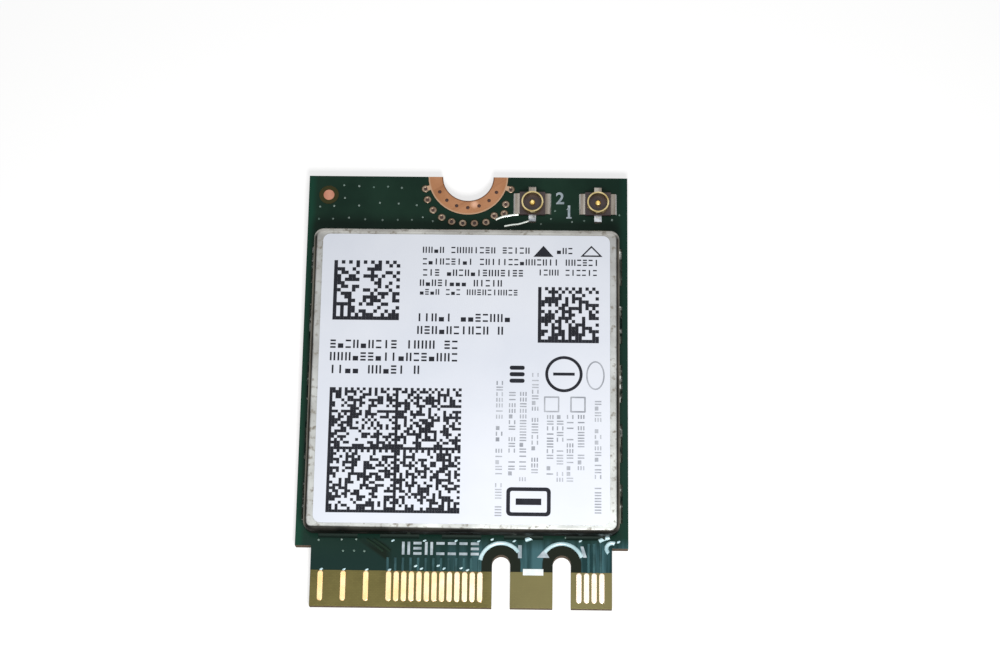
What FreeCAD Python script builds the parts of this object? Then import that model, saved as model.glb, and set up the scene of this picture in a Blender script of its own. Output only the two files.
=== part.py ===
import FreeCAD
import Part
import math
import os

# Wireless network card: a small board with edge contacts at its front and a screw notch at its rear,
# two coaxial antenna sockets, and a two-piece sheet metal shield over the radio parts.
# Millimetres. The origin is the centre of the card's outline on its underside,
# +X is to the right and +Y runs from the edge contacts to the screw notch, seen from the component side.

# Edge contacts: odd places lie on the component side, even places on the underside
contact_pitch = 0.5
contact_places = 75
contact_width = 0.35
contact_length = 2.0
contact_setback = 0.35
contact_end_facets = 4
top_contact_places = [*range(1, 8, 2), *range(33, 58, 2), 63, 69, 75]
bottom_contact_places = [*range(2, 7, 2), *range(16, 23, 2), *range(32, 75, 2)]
first_key_places = (8, 15)
second_key_places = (24, 31)

# Board
board_thickness = 0.8
card_length = 30.0
tab_length = 4.0
tab_side_margin = 0.5
tab_bevel = 0.12
shoulder_width = 1.075
key_notch_width = 1.2
key_notch_depth = 3.5
copper_thickness = 0.04
mask_gap = 0.03

# Screw notch, its plated ring and the plated holes around it
screw_notch_radius = 1.75
ring_width = 1.0
ring_via_radius = 0.12
ring_via_count = 7
ring_via_step_deg = 20.2
via_pad_radius = 0.25
via_hole_radius = 0.11
via_facets = 8
# Each pad: angle below the card's rear edge, and its distance from the ring's outer edge
left_via_pads = ((16.8, 0.33), (31.0, 0.51), (45.5, 0.67), (59.0, 0.72), (71.5, 0.71), (84.5, 0.65))
right_via_pads = ((16.6, 0.33), (37.0, 0.53), (46.5, 0.91), (57.0, 0.61), (69.0, 0.79), (82.0, 0.67))

# Round camera mark at the left rear corner
fiducial_radius = 0.37
fiducial_window_radius = 0.67
fiducial_facets = 16
fiducial_side_inset = 1.38
fiducial_rear_inset = 1.39

# Antenna sockets
socket_rear_inset = 1.95
socket_spacing = 4.52
socket_pad_gap = 0.05
socket_ring_radius = 0.75
socket_ring_wall = 0.1
socket_height = 0.6
socket_groove_depth = 0.05
socket_groove_height = 0.16
socket_sheet = 0.1
socket_leg_reach = 1.2
socket_leg_length = 1.5
socket_tab_width = 0.5
socket_rear_tab_reach = 1.2
socket_base_width = 1.76
socket_base_depth = 1.66
socket_base_height = 0.22
socket_pin_radius = 0.18
socket_pin_height = 0.52
socket_pin_bevel = 0.07
socket_pin_facets = 12
socket_tail_reach = 1.28
socket_tail_gap = 0.1
socket_solder_leg = 0.09

# Shield: a formed lid over a soldered frame
shield_side_margin = 0.6
shield_front_margin = 0.75
shield_rear_margin = 4.25
shield_sheet = 0.15
shield_corner_radius = 0.65
lid_bend_radius = 0.3
lid_frame_gap = 0.03
lid_board_gap = 0.3
lid_slit_width = 0.25
lid_slit_height = 0.55
lid_fingers_per_side = 3
snap_window_width = 1.5
snap_window_height = 0.32
snap_window_level = 0.72
snap_lug_gap = 0.06
snap_lug_reach = 0.1
frame_bend = 0.2
frame_flange_width = 1.0
frame_opening_radius = 0.9
frame_feet_per_side = 5
frame_foot_gap = 1.5
frame_foot_gap_height = 0.25
solder_fillet_width = 0.4
solder_fillet_height = 0.22
air_gap = 0.15

# Label
label_thickness = 0.1
label_side_inset = 0.65
label_end_inset = 0.5
label_corner_radius = 0.5

# Parts under the shield: plan sizes and heights
chip_side = 8.0
chip_height = 0.85
first_pin_cut = 0.5
front_end_side = 3.0
front_end_height = 0.75
front_end_wall_gap = 0.9
front_end_spacing = 3.8
filter_length = 1.6
filter_width = 0.8
filter_height = 0.6
filter_wall_gap = 1.2
filter_module_gap = 0.5
crystal_length = 2.5
crystal_width = 2.0
crystal_base_height = 0.4
crystal_lid_inset = 0.15
crystal_lid_height = 0.15
crystal_lid_corner = 0.25
crystal_wall_gap = 0.9
memory_length = 3.0
memory_width = 2.0
memory_height = 0.55
inductor_length = 2.0
inductor_width = 1.6
inductor_height = 0.95
inductor_bevel = 0.15
inductor_spacing = 3.0
lower_row_wall_gap = 1.4
small_part_length = 1.0
small_part_width = 0.5
small_part_cap_length = 0.25
small_part_cap_step = 0.03
capacitor_height = 0.5
resistor_height = 0.35
small_part_pitch = 1.2
capacitors_per_row = 6
resistors_per_row = 4
chip_part_gap = 0.6
chip_module_gap = 0.42

# Worked-out places
tab_width = contact_pitch * (contact_places - 1) / 2 + contact_width + 2 * tab_side_margin
card_width = tab_width + 2 * shoulder_width
half_card = card_width / 2
front_y = -card_length / 2
rear_y = card_length / 2
shoulder_y = front_y + tab_length
board_top = board_thickness
copper_top_floor = board_thickness - copper_thickness
ring_outer_radius = screw_notch_radius + ring_width

lid_right = half_card - shield_side_margin
lid_left = -lid_right
lid_front = shoulder_y + shield_front_margin
lid_rear = rear_y - shield_rear_margin
wall_to_frame = shield_sheet + lid_frame_gap
tallest_part = max(
    chip_height, front_end_height, filter_height, inductor_height, memory_height,
    crystal_base_height + crystal_lid_height, capacitor_height, resistor_height,
)
frame_top = board_top + tallest_part + air_gap + shield_sheet
lid_top = frame_top + shield_sheet
lid_foot = board_top + lid_board_gap

frame_left = lid_left + wall_to_frame
frame_right = lid_right - wall_to_frame
frame_front = lid_front + wall_to_frame
frame_rear = lid_rear - wall_to_frame
room_left = frame_left + shield_sheet
room_right = frame_right - shield_sheet
room_front = frame_front + shield_sheet
room_rear = frame_rear - shield_sheet


def contact_x(place):
    """Centre of a contact place, counted from the right."""
    return contact_pitch * ((contact_places + 1) / 2 - place) / 2


def block(x_mid, y_mid, z_low, x_size, y_size, z_size):
    """Box centred on a point in plan and standing on a level."""
    corner = FreeCAD.Vector(x_mid - x_size / 2, y_mid - y_size / 2, z_low)
    return Part.makeBox(x_size, y_size, z_size, corner)


def span(x_low, x_high, y_low, y_high, z_low, z_high):
    """Box between two corners."""
    corner = FreeCAD.Vector(x_low, y_low, z_low)
    return Part.makeBox(x_high - x_low, y_high - y_low, z_high - z_low, corner)


def post(x, y, z_low, radius, height):
    """Upright cylinder."""
    return Part.makeCylinder(radius, height, FreeCAD.Vector(x, y, z_low))


def prism(x, y, z_low, radius, height, sides):
    """Upright prism with flat sides that just enclose a circle."""
    corner = radius / math.cos(math.pi / sides)
    turns = [2 * math.pi * (i + 0.5) / sides for i in range(sides)]
    points = [(x + corner * math.cos(a), y + corner * math.sin(a), z_low) for a in turns]
    return extruded(points, (0, 0, height))


def rounded_plate(x_low, x_high, y_low, y_high, radius, z_low, z_high):
    """Plate with its four upright corners rounded."""
    plate = span(x_low, x_high, y_low, y_high, z_low, z_high)
    return plate.makeFillet(radius, upright_edges(plate))


def upright_edges(solid):
    """Edges that run up the solid."""
    return [e for e in solid.Edges if e.BoundBox.ZLength > e.BoundBox.XLength + e.BoundBox.YLength]


def top_rim(solid):
    """Edges round the solid's top face."""
    face = max(solid.Faces, key=lambda f: f.BoundBox.ZMin)
    return face.Edges


def extruded(points, direction):
    """Straight-sided profile pushed along a direction."""
    corners = [FreeCAD.Vector(*p) for p in points]
    return Part.Face(Part.makePolygon(corners + corners[:1])).extrude(FreeCAD.Vector(*direction))


def middles(low, high, count):
    """Middles of equal shares of a stretch."""
    share = (high - low) / count
    return [low + share * (i + 0.5) for i in range(count)]


def borders(low, high, count):
    """Points where equal shares of a stretch meet."""
    share = (high - low) / count
    return [low + share * i for i in range(1, count)]


def wall_places(left, right, front, rear, stops, count):
    """Stops along four walls: the point on each wall's outer face and the way the wall faces."""
    places = []
    for y in stops(front, rear, count):
        places += [(left, y, -1, 0), (right, y, 1, 0)]
    for x in stops(left, right, count):
        places += [(x, front, 0, -1), (x, rear, 0, 1)]
    return places


def below_rear_edge(angle_deg, radius):
    """Point on a circle about the screw notch, by its angle below the rear edge from the right."""
    angle = math.radians(angle_deg)
    return radius * math.cos(angle), rear_y - radius * math.sin(angle)


def via_pad_points():
    """Centres of the plated pads outside the ring."""
    places = [(180 - angle, gap) for angle, gap in left_via_pads] + list(right_via_pads)
    return [below_rear_edge(angle, ring_outer_radius + gap) for angle, gap in places]


def ring_via_points():
    """Centres of the plated holes in the ring."""
    first = 90 - ring_via_step_deg * (ring_via_count - 1) / 2
    radius = screw_notch_radius + ring_width / 2
    return [below_rear_edge(first + ring_via_step_deg * i, radius) for i in range(ring_via_count)]


def key_notch(places):
    """Slot with a round inner end, cut from the contact edge between two contact places."""
    x = contact_x(sum(places) / 2)
    radius = key_notch_width / 2
    straight = key_notch_depth - radius
    slot = span(x - radius, x + radius, front_y, front_y + straight, 0, board_thickness)
    return slot.fuse(post(x, front_y + straight, 0, radius, board_thickness))


def make_board():
    """Laminate with its tab, notches, plated-hole bores and the shallow windows where copper is bare."""
    half_tab = tab_width / 2
    outline = [
        (-half_tab, front_y, 0), (half_tab, front_y, 0), (half_tab, shoulder_y, 0),
        (half_card, shoulder_y, 0), (half_card, rear_y, 0), (-half_card, rear_y, 0),
        (-half_card, shoulder_y, 0), (-half_tab, shoulder_y, 0),
    ]
    board = extruded(outline, (0, 0, board_thickness))
    lead_in = [
        e for e in board.Edges
        if e.BoundBox.YMax < front_y + tab_bevel and e.BoundBox.ZLength < e.BoundBox.XLength
    ]
    board = board.makeChamfer(tab_bevel, lead_in)
    window_rear = front_y + contact_setback + contact_length + mask_gap
    ring_window = ring_outer_radius + mask_gap
    cuts = [key_notch(first_key_places), key_notch(second_key_places)]
    cuts.append(post(0, rear_y, 0, screw_notch_radius + copper_thickness, board_thickness))
    for floor in (0, copper_top_floor):
        cuts.append(span(-half_tab, half_tab, front_y, window_rear, floor, floor + copper_thickness))
        cuts.append(post(0, rear_y, floor, ring_window, copper_thickness))
    for x, y in ring_via_points():
        cuts.append(prism(x, y, 0, ring_via_radius, board_thickness, via_facets))
    for x, y in via_pad_points():
        cuts.append(prism(x, y, 0, via_hole_radius, board_thickness, via_facets))
        window = via_pad_radius + mask_gap
        cuts.append(prism(x, y, copper_top_floor, window, copper_thickness, via_facets))
    cuts.append(round_mark(fiducial_window_radius))
    return board.cut(cuts)


def round_mark(radius):
    """Disc of copper depth at the place of the camera mark."""
    x = fiducial_side_inset - half_card
    y = rear_y - fiducial_rear_inset
    return prism(x, y, copper_top_floor, radius, copper_thickness, fiducial_facets)


def contact_pad(place, floor):
    """Gold contact with round ends."""
    x = contact_x(place)
    radius = contact_width / 2
    rear_centre = front_y + contact_setback + contact_length - radius
    front_centre = front_y + contact_setback + radius
    points = []
    for y, first_turn in ((rear_centre, 0), (front_centre, math.pi)):
        for i in range(contact_end_facets + 1):
            turn = first_turn + math.pi * i / contact_end_facets
            points.append((x + radius * math.cos(turn), y + radius * math.sin(turn), floor))
    return extruded(points, (0, 0, copper_thickness))


def contact_row(places, floor):
    """Row of separate contacts."""
    return Part.makeCompound([contact_pad(place, floor) for place in places])


def make_ring():
    """Plated ring: upper and lower flange joined by the half barrel of the notch, with its small holes."""
    inner = screw_notch_radius
    barrel = inner + copper_thickness
    outer = ring_outer_radius
    low = copper_thickness
    high = copper_top_floor
    section = [
        (inner, 0), (outer, 0), (outer, low), (barrel, low),
        (barrel, high), (outer, high), (outer, board_top), (inner, board_top),
    ]
    corners = [FreeCAD.Vector(-r, rear_y, z) for r, z in section]
    face = Part.Face(Part.makePolygon(corners + corners[:1]))
    ring = face.revolve(FreeCAD.Vector(0, rear_y, 0), FreeCAD.Vector(0, 0, 1), 180)
    holes = [prism(x, y, 0, ring_via_radius, board_thickness, via_facets) for x, y in ring_via_points()]
    return ring.cut(holes)


def make_via_pads():
    """Plated pads, each with its hole."""
    pads = []
    for x, y in via_pad_points():
        pad = prism(x, y, copper_top_floor, via_pad_radius, copper_thickness, via_facets)
        hole = prism(x, y, copper_top_floor, via_hole_radius, copper_thickness, via_facets)
        pads.append(pad.cut(hole))
    return Part.makeCompound(pads)


def socket_points():
    """Centres of socket 1, at the right edge, and socket 2, beside the screw notch."""
    pads_reach = max(x for x, y in via_pad_points()) + via_pad_radius
    second_x = pads_reach + socket_pad_gap + socket_leg_reach
    y = rear_y - socket_rear_inset
    return (second_x + socket_spacing, y), (second_x, y)


def socket_shell():
    """Outer contact: turned ring with a snap groove, standing on two side legs and a rear tab."""
    outer = socket_ring_radius
    inner = outer - socket_ring_wall
    groove_low = socket_base_height
    groove_high = groove_low + socket_groove_height
    neck = outer - socket_groove_depth
    section = [
        (inner, 0), (outer, 0), (outer, groove_low), (neck, (groove_low + groove_high) / 2),
        (outer, groove_high), (outer, socket_height), (inner, socket_height),
    ]
    corners = [FreeCAD.Vector(r, 0, z) for r, z in section]
    face = Part.Face(Part.makePolygon(corners + corners[:1]))
    shell = face.revolve(FreeCAD.Vector(0, 0, 0), FreeCAD.Vector(0, 0, 1), 360)
    half_leg = socket_leg_length / 2
    half_tab = socket_tab_width / 2
    legs = span(-socket_leg_reach, socket_leg_reach, -half_leg, half_leg, 0, socket_sheet)
    rear_tab = span(-half_tab, half_tab, 0, socket_rear_tab_reach, 0, socket_sheet)
    inside = post(0, 0, 0, inner, socket_height)
    tail_slot = half_tab + socket_tail_gap
    doorway = span(-tail_slot, tail_slot, -half_leg - outer, 0, 0, socket_sheet + socket_tail_gap)
    return shell.fuse([legs, rear_tab]).cut([inside, doorway]).removeSplitter()


def socket_pin():
    """Centre contact: round pin with a bevelled tip, and a flat tail to its solder pad."""
    stem = prism(0, 0, 0, socket_pin_radius, socket_pin_height, socket_pin_facets)
    stem = stem.makeChamfer(socket_pin_bevel, top_rim(stem))
    half_tab = socket_tab_width / 2
    tail = span(-half_tab, half_tab, -socket_tail_reach, 0, 0, socket_sheet)
    return stem.fuse(tail).removeSplitter()


def socket_insulator():
    """Moulded base round the foot of the ring and the pin."""
    base = block(0, 0, 0, socket_base_width, socket_base_depth, socket_base_height)
    return base.cut([socket_shell(), socket_pin()])


def fillet_wedge(corner, out, height, along):
    """Solder fillet of triangular section, from a corner outwards and up, drawn along an edge."""
    corners = [corner, corner + out, corner + FreeCAD.Vector(0, 0, height)]
    return Part.Face(Part.makePolygon(corners + corners[:1])).extrude(along)


def socket_solder():
    """Solder at the ends of both legs, the rear tab and the tail."""
    leg = FreeCAD.Vector(0, socket_leg_length, 0)
    tab = FreeCAD.Vector(socket_tab_width, 0, 0)
    right = FreeCAD.Vector(socket_leg_reach, 0, 0)
    rear = FreeCAD.Vector(0, socket_rear_tab_reach, 0)
    front = FreeCAD.Vector(0, -socket_tail_reach, 0)
    size = socket_solder_leg
    return Part.makeCompound([
        fillet_wedge(right - leg / 2, FreeCAD.Vector(size, 0, 0), size, leg),
        fillet_wedge(-right - leg / 2, FreeCAD.Vector(-size, 0, 0), size, leg),
        fillet_wedge(rear - tab / 2, FreeCAD.Vector(0, size, 0), size, tab),
        fillet_wedge(front - tab / 2, FreeCAD.Vector(0, -size, 0), size, tab),
    ])


def lid_places(stops):
    """Stops along the lid's walls, by the spring fingers of each side."""
    return wall_places(lid_left, lid_right, lid_front, lid_rear, stops, lid_fingers_per_side)


def wall_block(x, y, face_x, face_y, width, depth_in, depth_out, z_low, z_high):
    """Box that straddles a wall: so wide along it, reaching inwards and outwards from its outer face."""
    x_reach = sorted((x - face_x * depth_in, x + face_x * depth_out))
    y_reach = sorted((y - face_y * depth_in, y + face_y * depth_out))
    half_x = abs(face_y) * width / 2
    half_y = abs(face_x) * width / 2
    return span(
        x_reach[0] - half_x, x_reach[1] + half_x, y_reach[0] - half_y, y_reach[1] + half_y, z_low, z_high,
    )


def make_lid():
    """Drawn cover: rounded bend and corners, skirt slit into spring fingers, each with its snap window."""
    outer = rounded_plate(
        lid_left, lid_right, lid_front, lid_rear, shield_corner_radius, lid_foot, lid_top,
    )
    outer = outer.makeFillet(lid_bend_radius, top_rim(outer))
    hollow = rounded_plate(
        lid_left + shield_sheet, lid_right - shield_sheet, lid_front + shield_sheet, lid_rear - shield_sheet,
        shield_corner_radius - shield_sheet, lid_foot, frame_top,
    )
    hollow = hollow.makeChamfer(lid_bend_radius - shield_sheet, top_rim(hollow))
    cuts = [hollow]
    window_low = board_top + snap_window_level - snap_window_height / 2
    window_high = window_low + snap_window_height
    for place in lid_places(middles):
        cuts.append(wall_block(*place, snap_window_width, wall_to_frame, 0, window_low, window_high))
    slit_top = lid_foot + lid_slit_height
    for place in lid_places(borders):
        cuts.append(wall_block(*place, lid_slit_width, wall_to_frame, 0, lid_foot, slit_top))
    return outer.cut(cuts)


def frame_places(stops):
    """Stops along the frame's walls, by the solder feet of each side."""
    return wall_places(frame_left, frame_right, frame_front, frame_rear, stops, frame_feet_per_side)


def make_frame():
    """Fence with an inward top flange, arched between its solder feet, with a lug for each snap window."""
    corner = shield_corner_radius - wall_to_frame
    outer = rounded_plate(frame_left, frame_right, frame_front, frame_rear, corner, board_top, frame_top)
    outer = outer.makeChamfer(frame_bend, top_rim(outer))
    room = rounded_plate(
        room_left, room_right, room_front, room_rear, corner - shield_sheet, board_top, frame_top - shield_sheet,
    )
    flange = frame_flange_width
    opening = rounded_plate(
        frame_left + flange, frame_right - flange, frame_front + flange, frame_rear - flange,
        frame_opening_radius, board_top, frame_top,
    )
    lug_width = snap_window_width - 2 * snap_lug_gap
    lug_low = board_top + snap_window_level - snap_window_height / 2 + snap_lug_gap
    lug_high = lug_low + snap_window_height - 2 * snap_lug_gap
    lug_root = wall_to_frame + shield_sheet
    lug_sink = shield_sheet - snap_lug_reach
    lugs = [wall_block(*place, lug_width, lug_root, -lug_sink, lug_low, lug_high) for place in lid_places(middles)]
    arch_top = board_top + frame_foot_gap_height
    arches = [
        wall_block(*place, frame_foot_gap, shield_sheet, 0, board_top, arch_top)
        for place in frame_places(borders)
    ]
    return outer.fuse(lugs).cut([room, opening] + arches)


def make_shield_solder():
    """Solder fillet outside each foot of the frame."""
    fillets = []
    for x, y, face_x, face_y in frame_places(middles):
        wall_length = frame_rear - frame_front if face_x else frame_right - frame_left
        length = wall_length / frame_feet_per_side - frame_foot_gap
        out = FreeCAD.Vector(face_x, face_y, 0)
        along = FreeCAD.Vector(-face_y, face_x, 0)
        foot = FreeCAD.Vector(x, y, board_top) - along * (length / 2)
        fillets.append(fillet_wedge(foot, out * solder_fillet_width, solder_fillet_height, along * length))
    return Part.makeCompound(fillets)


def make_label():
    """Paper label on the lid's flat top."""
    return rounded_plate(
        lid_left + label_side_inset, lid_right - label_side_inset,
        lid_front + label_end_inset, lid_rear - label_end_inset,
        label_corner_radius, lid_top, lid_top + label_thickness,
    )


def marked_package(x, y, x_size, y_size, height):
    """Moulded chip package with its first-pin corner cut off."""
    left = x - x_size / 2
    right = x + x_size / 2
    front = y - y_size / 2
    rear = y + y_size / 2
    outline = [
        (left, front, board_top), (right, front, board_top), (right, rear, board_top),
        (left + first_pin_cut, rear, board_top), (left, rear - first_pin_cut, board_top),
    ]
    return extruded(outline, (0, 0, height))


def make_crystal(x, y):
    """Ceramic package and its metal lid."""
    lid_length = crystal_length - 2 * crystal_lid_inset
    lid_width = crystal_width - 2 * crystal_lid_inset
    base = block(x, y, board_top, crystal_length, crystal_width, crystal_base_height)
    lid = block(x, y, board_top + crystal_base_height, lid_length, lid_width, crystal_lid_height)
    return base, lid.makeChamfer(crystal_lid_corner, upright_edges(lid))


def make_inductor(x, y):
    """Moulded coil block with bevelled upper edges."""
    body = block(x, y, board_top, inductor_length, inductor_width, inductor_height)
    return body.makeChamfer(inductor_bevel, top_rim(body))


def small_part(x, y, height):
    """Two-ended passive part: body between slightly larger end caps."""
    step = small_part_cap_step
    body = block(x, y, board_top, small_part_length, small_part_width - 2 * step, height - step)
    reach = (small_part_length - small_part_cap_length) / 2
    caps = [
        block(x + side * reach, y, board_top, small_part_cap_length, small_part_width, height)
        for side in (-1, 1)
    ]
    return body.fuse(caps).removeSplitter()


def small_part_row(x_mid, y, count, height):
    """Row of small parts, end to end along X."""
    first = x_mid - small_part_pitch * (count - 1) / 2
    return [small_part(first + small_part_pitch * i, y, height) for i in range(count)]


pieces = {
    "circuit_board": make_board(),
    "edge_contacts_top": contact_row(top_contact_places, copper_top_floor),
    "edge_contacts_bottom": contact_row(bottom_contact_places, 0),
    "annular_ring": make_ring(),
    "ground_via_pads": make_via_pads(),
    "fiducial_mark": round_mark(fiducial_radius),
    "shield_frame": make_frame(),
    "shield_lid": make_lid(),
    "shield_solder": make_shield_solder(),
    "label": make_label(),
}

for number, (socket_x, socket_y) in enumerate(socket_points(), 1):
    seat = FreeCAD.Vector(socket_x, socket_y, board_top)
    pieces[f"antenna_socket_{number}_shell"] = socket_shell().translated(seat)
    pieces[f"antenna_socket_{number}_insulator"] = socket_insulator().translated(seat)
    pieces[f"antenna_socket_{number}_pin"] = socket_pin().translated(seat)
    pieces[f"antenna_socket_{number}_solder"] = socket_solder().translated(seat)

filter_y = room_rear - filter_wall_gap - filter_width / 2
front_end_y = filter_y - filter_width / 2 - filter_module_gap - front_end_side / 2
for number in (1, 2):
    module_x = room_right - front_end_wall_gap - front_end_side / 2 - front_end_spacing * (number - 1)
    pieces[f"front_end_module_{number}"] = marked_package(
        module_x, front_end_y, front_end_side, front_end_side, front_end_height,
    )
    pieces[f"band_filter_{number}"] = block(
        module_x, filter_y, board_top, filter_length, filter_width, filter_height,
    )

chip_y = front_end_y - front_end_side / 2 - chip_module_gap - chip_side / 2
pieces["radio_chip"] = marked_package(0, chip_y, chip_side, chip_side, chip_height)

crystal_x = room_left + crystal_wall_gap + crystal_length / 2
pieces["crystal_package"], pieces["crystal_lid"] = make_crystal(crystal_x, chip_y)

lower_y = room_front + lower_row_wall_gap + inductor_width / 2
for number in (1, 2):
    inductor_x = room_left + lower_row_wall_gap + inductor_length / 2 + inductor_spacing * (number - 1)
    pieces[f"power_inductor_{number}"] = make_inductor(inductor_x, lower_y)

memory_x = room_right - lower_row_wall_gap - memory_length / 2
pieces["settings_memory"] = marked_package(memory_x, lower_y, memory_length, memory_width, memory_height)

row_offset = chip_side / 2 + chip_part_gap + small_part_width / 2
pieces["capacitors"] = Part.makeCompound(
    small_part_row(0, chip_y - row_offset, capacitors_per_row, capacitor_height)
)
pieces["resistors"] = Part.makeCompound(
    small_part_row(-chip_side / 4, chip_y + row_offset, resistors_per_row, resistor_height)
)

os.makedirs("parts", exist_ok=True)
for name, shape in pieces.items():
    shape.exportStep(f"parts/{name}.step")
    print(name, len(shape.Solids), "solids", shape.isValid())
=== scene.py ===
# %% [markdown]
# # Dressing a plug-in wireless card
# The solid parts of the card come from a CAD model: board, shield, sockets and contacts.
# This lesson gives them their finishes, adds the print and the fine relief of the board,
# and sets up the camera and the light. Blender works in metres, so a card of 30 mm is only
# 0.03 long. Sizes are written in millimetres here and multiplied by `MM`.

# %% Load the solid parts
import math
import random

import bmesh
import bpy
from mathutils import Matrix, Vector


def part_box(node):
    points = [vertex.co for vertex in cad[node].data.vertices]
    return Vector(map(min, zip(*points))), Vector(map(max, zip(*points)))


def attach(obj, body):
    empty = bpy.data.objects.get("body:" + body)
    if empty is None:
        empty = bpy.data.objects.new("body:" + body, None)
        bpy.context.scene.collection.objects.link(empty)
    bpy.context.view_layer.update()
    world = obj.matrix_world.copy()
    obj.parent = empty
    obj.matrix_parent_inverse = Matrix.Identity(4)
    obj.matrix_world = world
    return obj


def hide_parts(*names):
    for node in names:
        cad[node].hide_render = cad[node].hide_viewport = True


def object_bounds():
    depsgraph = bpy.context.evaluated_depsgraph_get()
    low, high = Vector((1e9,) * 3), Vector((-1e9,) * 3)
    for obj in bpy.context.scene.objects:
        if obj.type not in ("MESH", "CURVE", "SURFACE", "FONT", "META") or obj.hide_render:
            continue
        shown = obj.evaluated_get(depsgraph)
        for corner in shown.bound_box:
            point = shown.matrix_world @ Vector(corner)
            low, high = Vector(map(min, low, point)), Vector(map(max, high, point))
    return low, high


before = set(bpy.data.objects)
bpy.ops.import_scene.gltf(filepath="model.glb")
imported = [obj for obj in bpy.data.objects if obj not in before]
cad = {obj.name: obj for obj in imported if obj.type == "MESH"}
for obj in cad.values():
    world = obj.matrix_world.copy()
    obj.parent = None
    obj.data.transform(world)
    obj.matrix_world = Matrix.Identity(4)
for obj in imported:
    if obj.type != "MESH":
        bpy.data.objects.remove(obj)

MM = 0.001
cad_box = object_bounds()
scene = bpy.context.scene
scene.view_settings.view_transform = "Standard"
print("CAD parts:", len(cad), "box in mm:", [tuple(round(c / MM, 2) for c in corner) for corner in cad_box])

# %% [markdown]
# ## Camera
# The place, direction and lens of a camera can be solved from a photograph once the real
# size of the object is known. Here the outline of the board gave them. A camera looks along
# its own -Z axis, so its turn is a matrix whose columns are right, up and backwards.

# %% Camera
SENSOR_WIDTH = 36.0
PHOTO_WIDTH = 1000
FOCAL_PIXELS = 2206.44
CAMERA_PLACE = Vector((4.5014, -39.1586, 144.1338)) * MM
CAMERA_RIGHT = Vector((0.999848, 0.013566, -0.010993))
CAMERA_BACK = Vector((0.014423, -0.286749, 0.957897))

camera_data = bpy.data.cameras.new("camera")
camera_data.sensor_width = SENSOR_WIDTH
camera_data.lens = FOCAL_PIXELS * SENSOR_WIDTH / PHOTO_WIDTH
camera_data.clip_start = 1 * MM
camera = bpy.data.objects.new("camera", camera_data)
camera_up = CAMERA_BACK.cross(CAMERA_RIGHT)
camera.matrix_world = Matrix.Translation(CAMERA_PLACE) @ Matrix(
    (CAMERA_RIGHT, camera_up, CAMERA_BACK)
).transposed().to_4x4()
scene.collection.objects.link(camera)
scene.camera = camera
print("lens", round(camera_data.lens, 2), "mm")

# %% [markdown]
# ## Placing nodes
# A finish is a tree of shader nodes, and a shape that repeats is a tree of geometry nodes.
# Each node is placed in the same three steps: make it, choose its settings, then give its
# inputs values or links. One helper does that. It returns the node's outputs, because they
# are what the next node needs.

# %% Placing nodes
def put(tree, kind, inputs=None, **settings):
    """Place a node, give its inputs values or links, and return its outputs."""
    node = tree.nodes.new(kind)
    for name, value in settings.items():
        setattr(node, name, value)
    for name, value in (inputs or {}).items():
        if isinstance(value, bpy.types.NodeSocket):
            tree.links.new(value, node.inputs[name])
        else:
            node.inputs[name].default_value = value
    return node.outputs


print("helper made: put")

# %% [markdown]
# ## Arithmetic with nodes
# A few kinds of node come up again and again: sums, vectors, and ramps that turn a place
# or a share into a number. Each gets a short helper, so that every recipe stays a few lines
# long. `over` takes its span in millimetres, as the sizes of the card are written.

# %% Arithmetic with nodes
def figure(tree, operation, first, second=0.0):
    """One step of arithmetic on numbers or sockets."""
    return put(tree, "ShaderNodeMath", {0: first, 1: second}, operation=operation)[0]


def measure(tree, operation, first, second=(0.0, 0.0, 0.0)):
    """Number worked out from vectors, such as a distance."""
    return put(tree, "ShaderNodeVectorMath", {0: first, 1: second}, operation=operation)["Value"]


def vector(tree, x=0.0, y=0.0, z=0.0):
    """Vector put together from numbers or sockets."""
    return put(tree, "ShaderNodeCombineXYZ", {"X": x, "Y": y, "Z": z})[0]


def parts(tree, whole):
    """X, Y and Z of a vector."""
    return put(tree, "ShaderNodeSeparateXYZ", {"Vector": whole})


def ramp(tree, value, low, high, first=0.0, last=1.0):
    """Number that runs from first to last while a value runs from low to high."""
    return put(tree, "ShaderNodeMapRange", {
        "Value": value, "From Min": low, "From Max": high, "To Min": first, "To Max": last,
    })[0]


def over(tree, length, span, first=0.0, last=1.0):
    """Number that runs from first to last while a length crosses a span in millimetres."""
    return ramp(tree, length, span[0] * MM, span[1] * MM, first, last)


def between(tree, share, first, last):
    """Number between two others, by a share from 0 to 1."""
    return ramp(tree, share, 0.0, 1.0, first, last)


print("helpers made: figure, measure, vector, parts, ramp, over and between")

# %% [markdown]
# ## Colours and places
# Colours are written as the eye sees them, from 0 to 255, and turned into the linear values
# that Blender uses. A finish is mostly a stack of blends, one colour over another by a
# share. Patterns read Object coordinates, so that they stay put when the card is turned.

# %% Colours and places
def paint(red, green, blue):
    """Linear colour of a shade that is written as 8-bit display values."""
    shares = [value / 255 for value in (red, green, blue)]
    return tuple(s / 12.92 if s <= 0.04045 else ((s + 0.055) / 1.055) ** 2.4 for s in shares) + (1.0,)


def blend(tree, share, first, second):
    """Colour between two shades or sockets, by a share from 0 to 1."""
    first, second = (c if isinstance(c, bpy.types.NodeSocket) else paint(*c) for c in (first, second))
    return put(tree, "ShaderNodeMix", {0: share, 6: first, 7: second}, data_type="RGBA")[2]


def card_spot(tree):
    """Place on the card, which stays put when the card is turned."""
    return put(tree, "ShaderNodeTexCoord")["Object"]


print("mid grey in linear light:", round(paint(128, 128, 128)[0], 3))

# %% [markdown]
# ## Finishes and groups
# What stays the same all over a finish is set straight on its shader. What varies over the
# surface is linked to the shader's inputs. An effect that several finishes need is a node
# group, which is built once and placed with other values each time.

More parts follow.
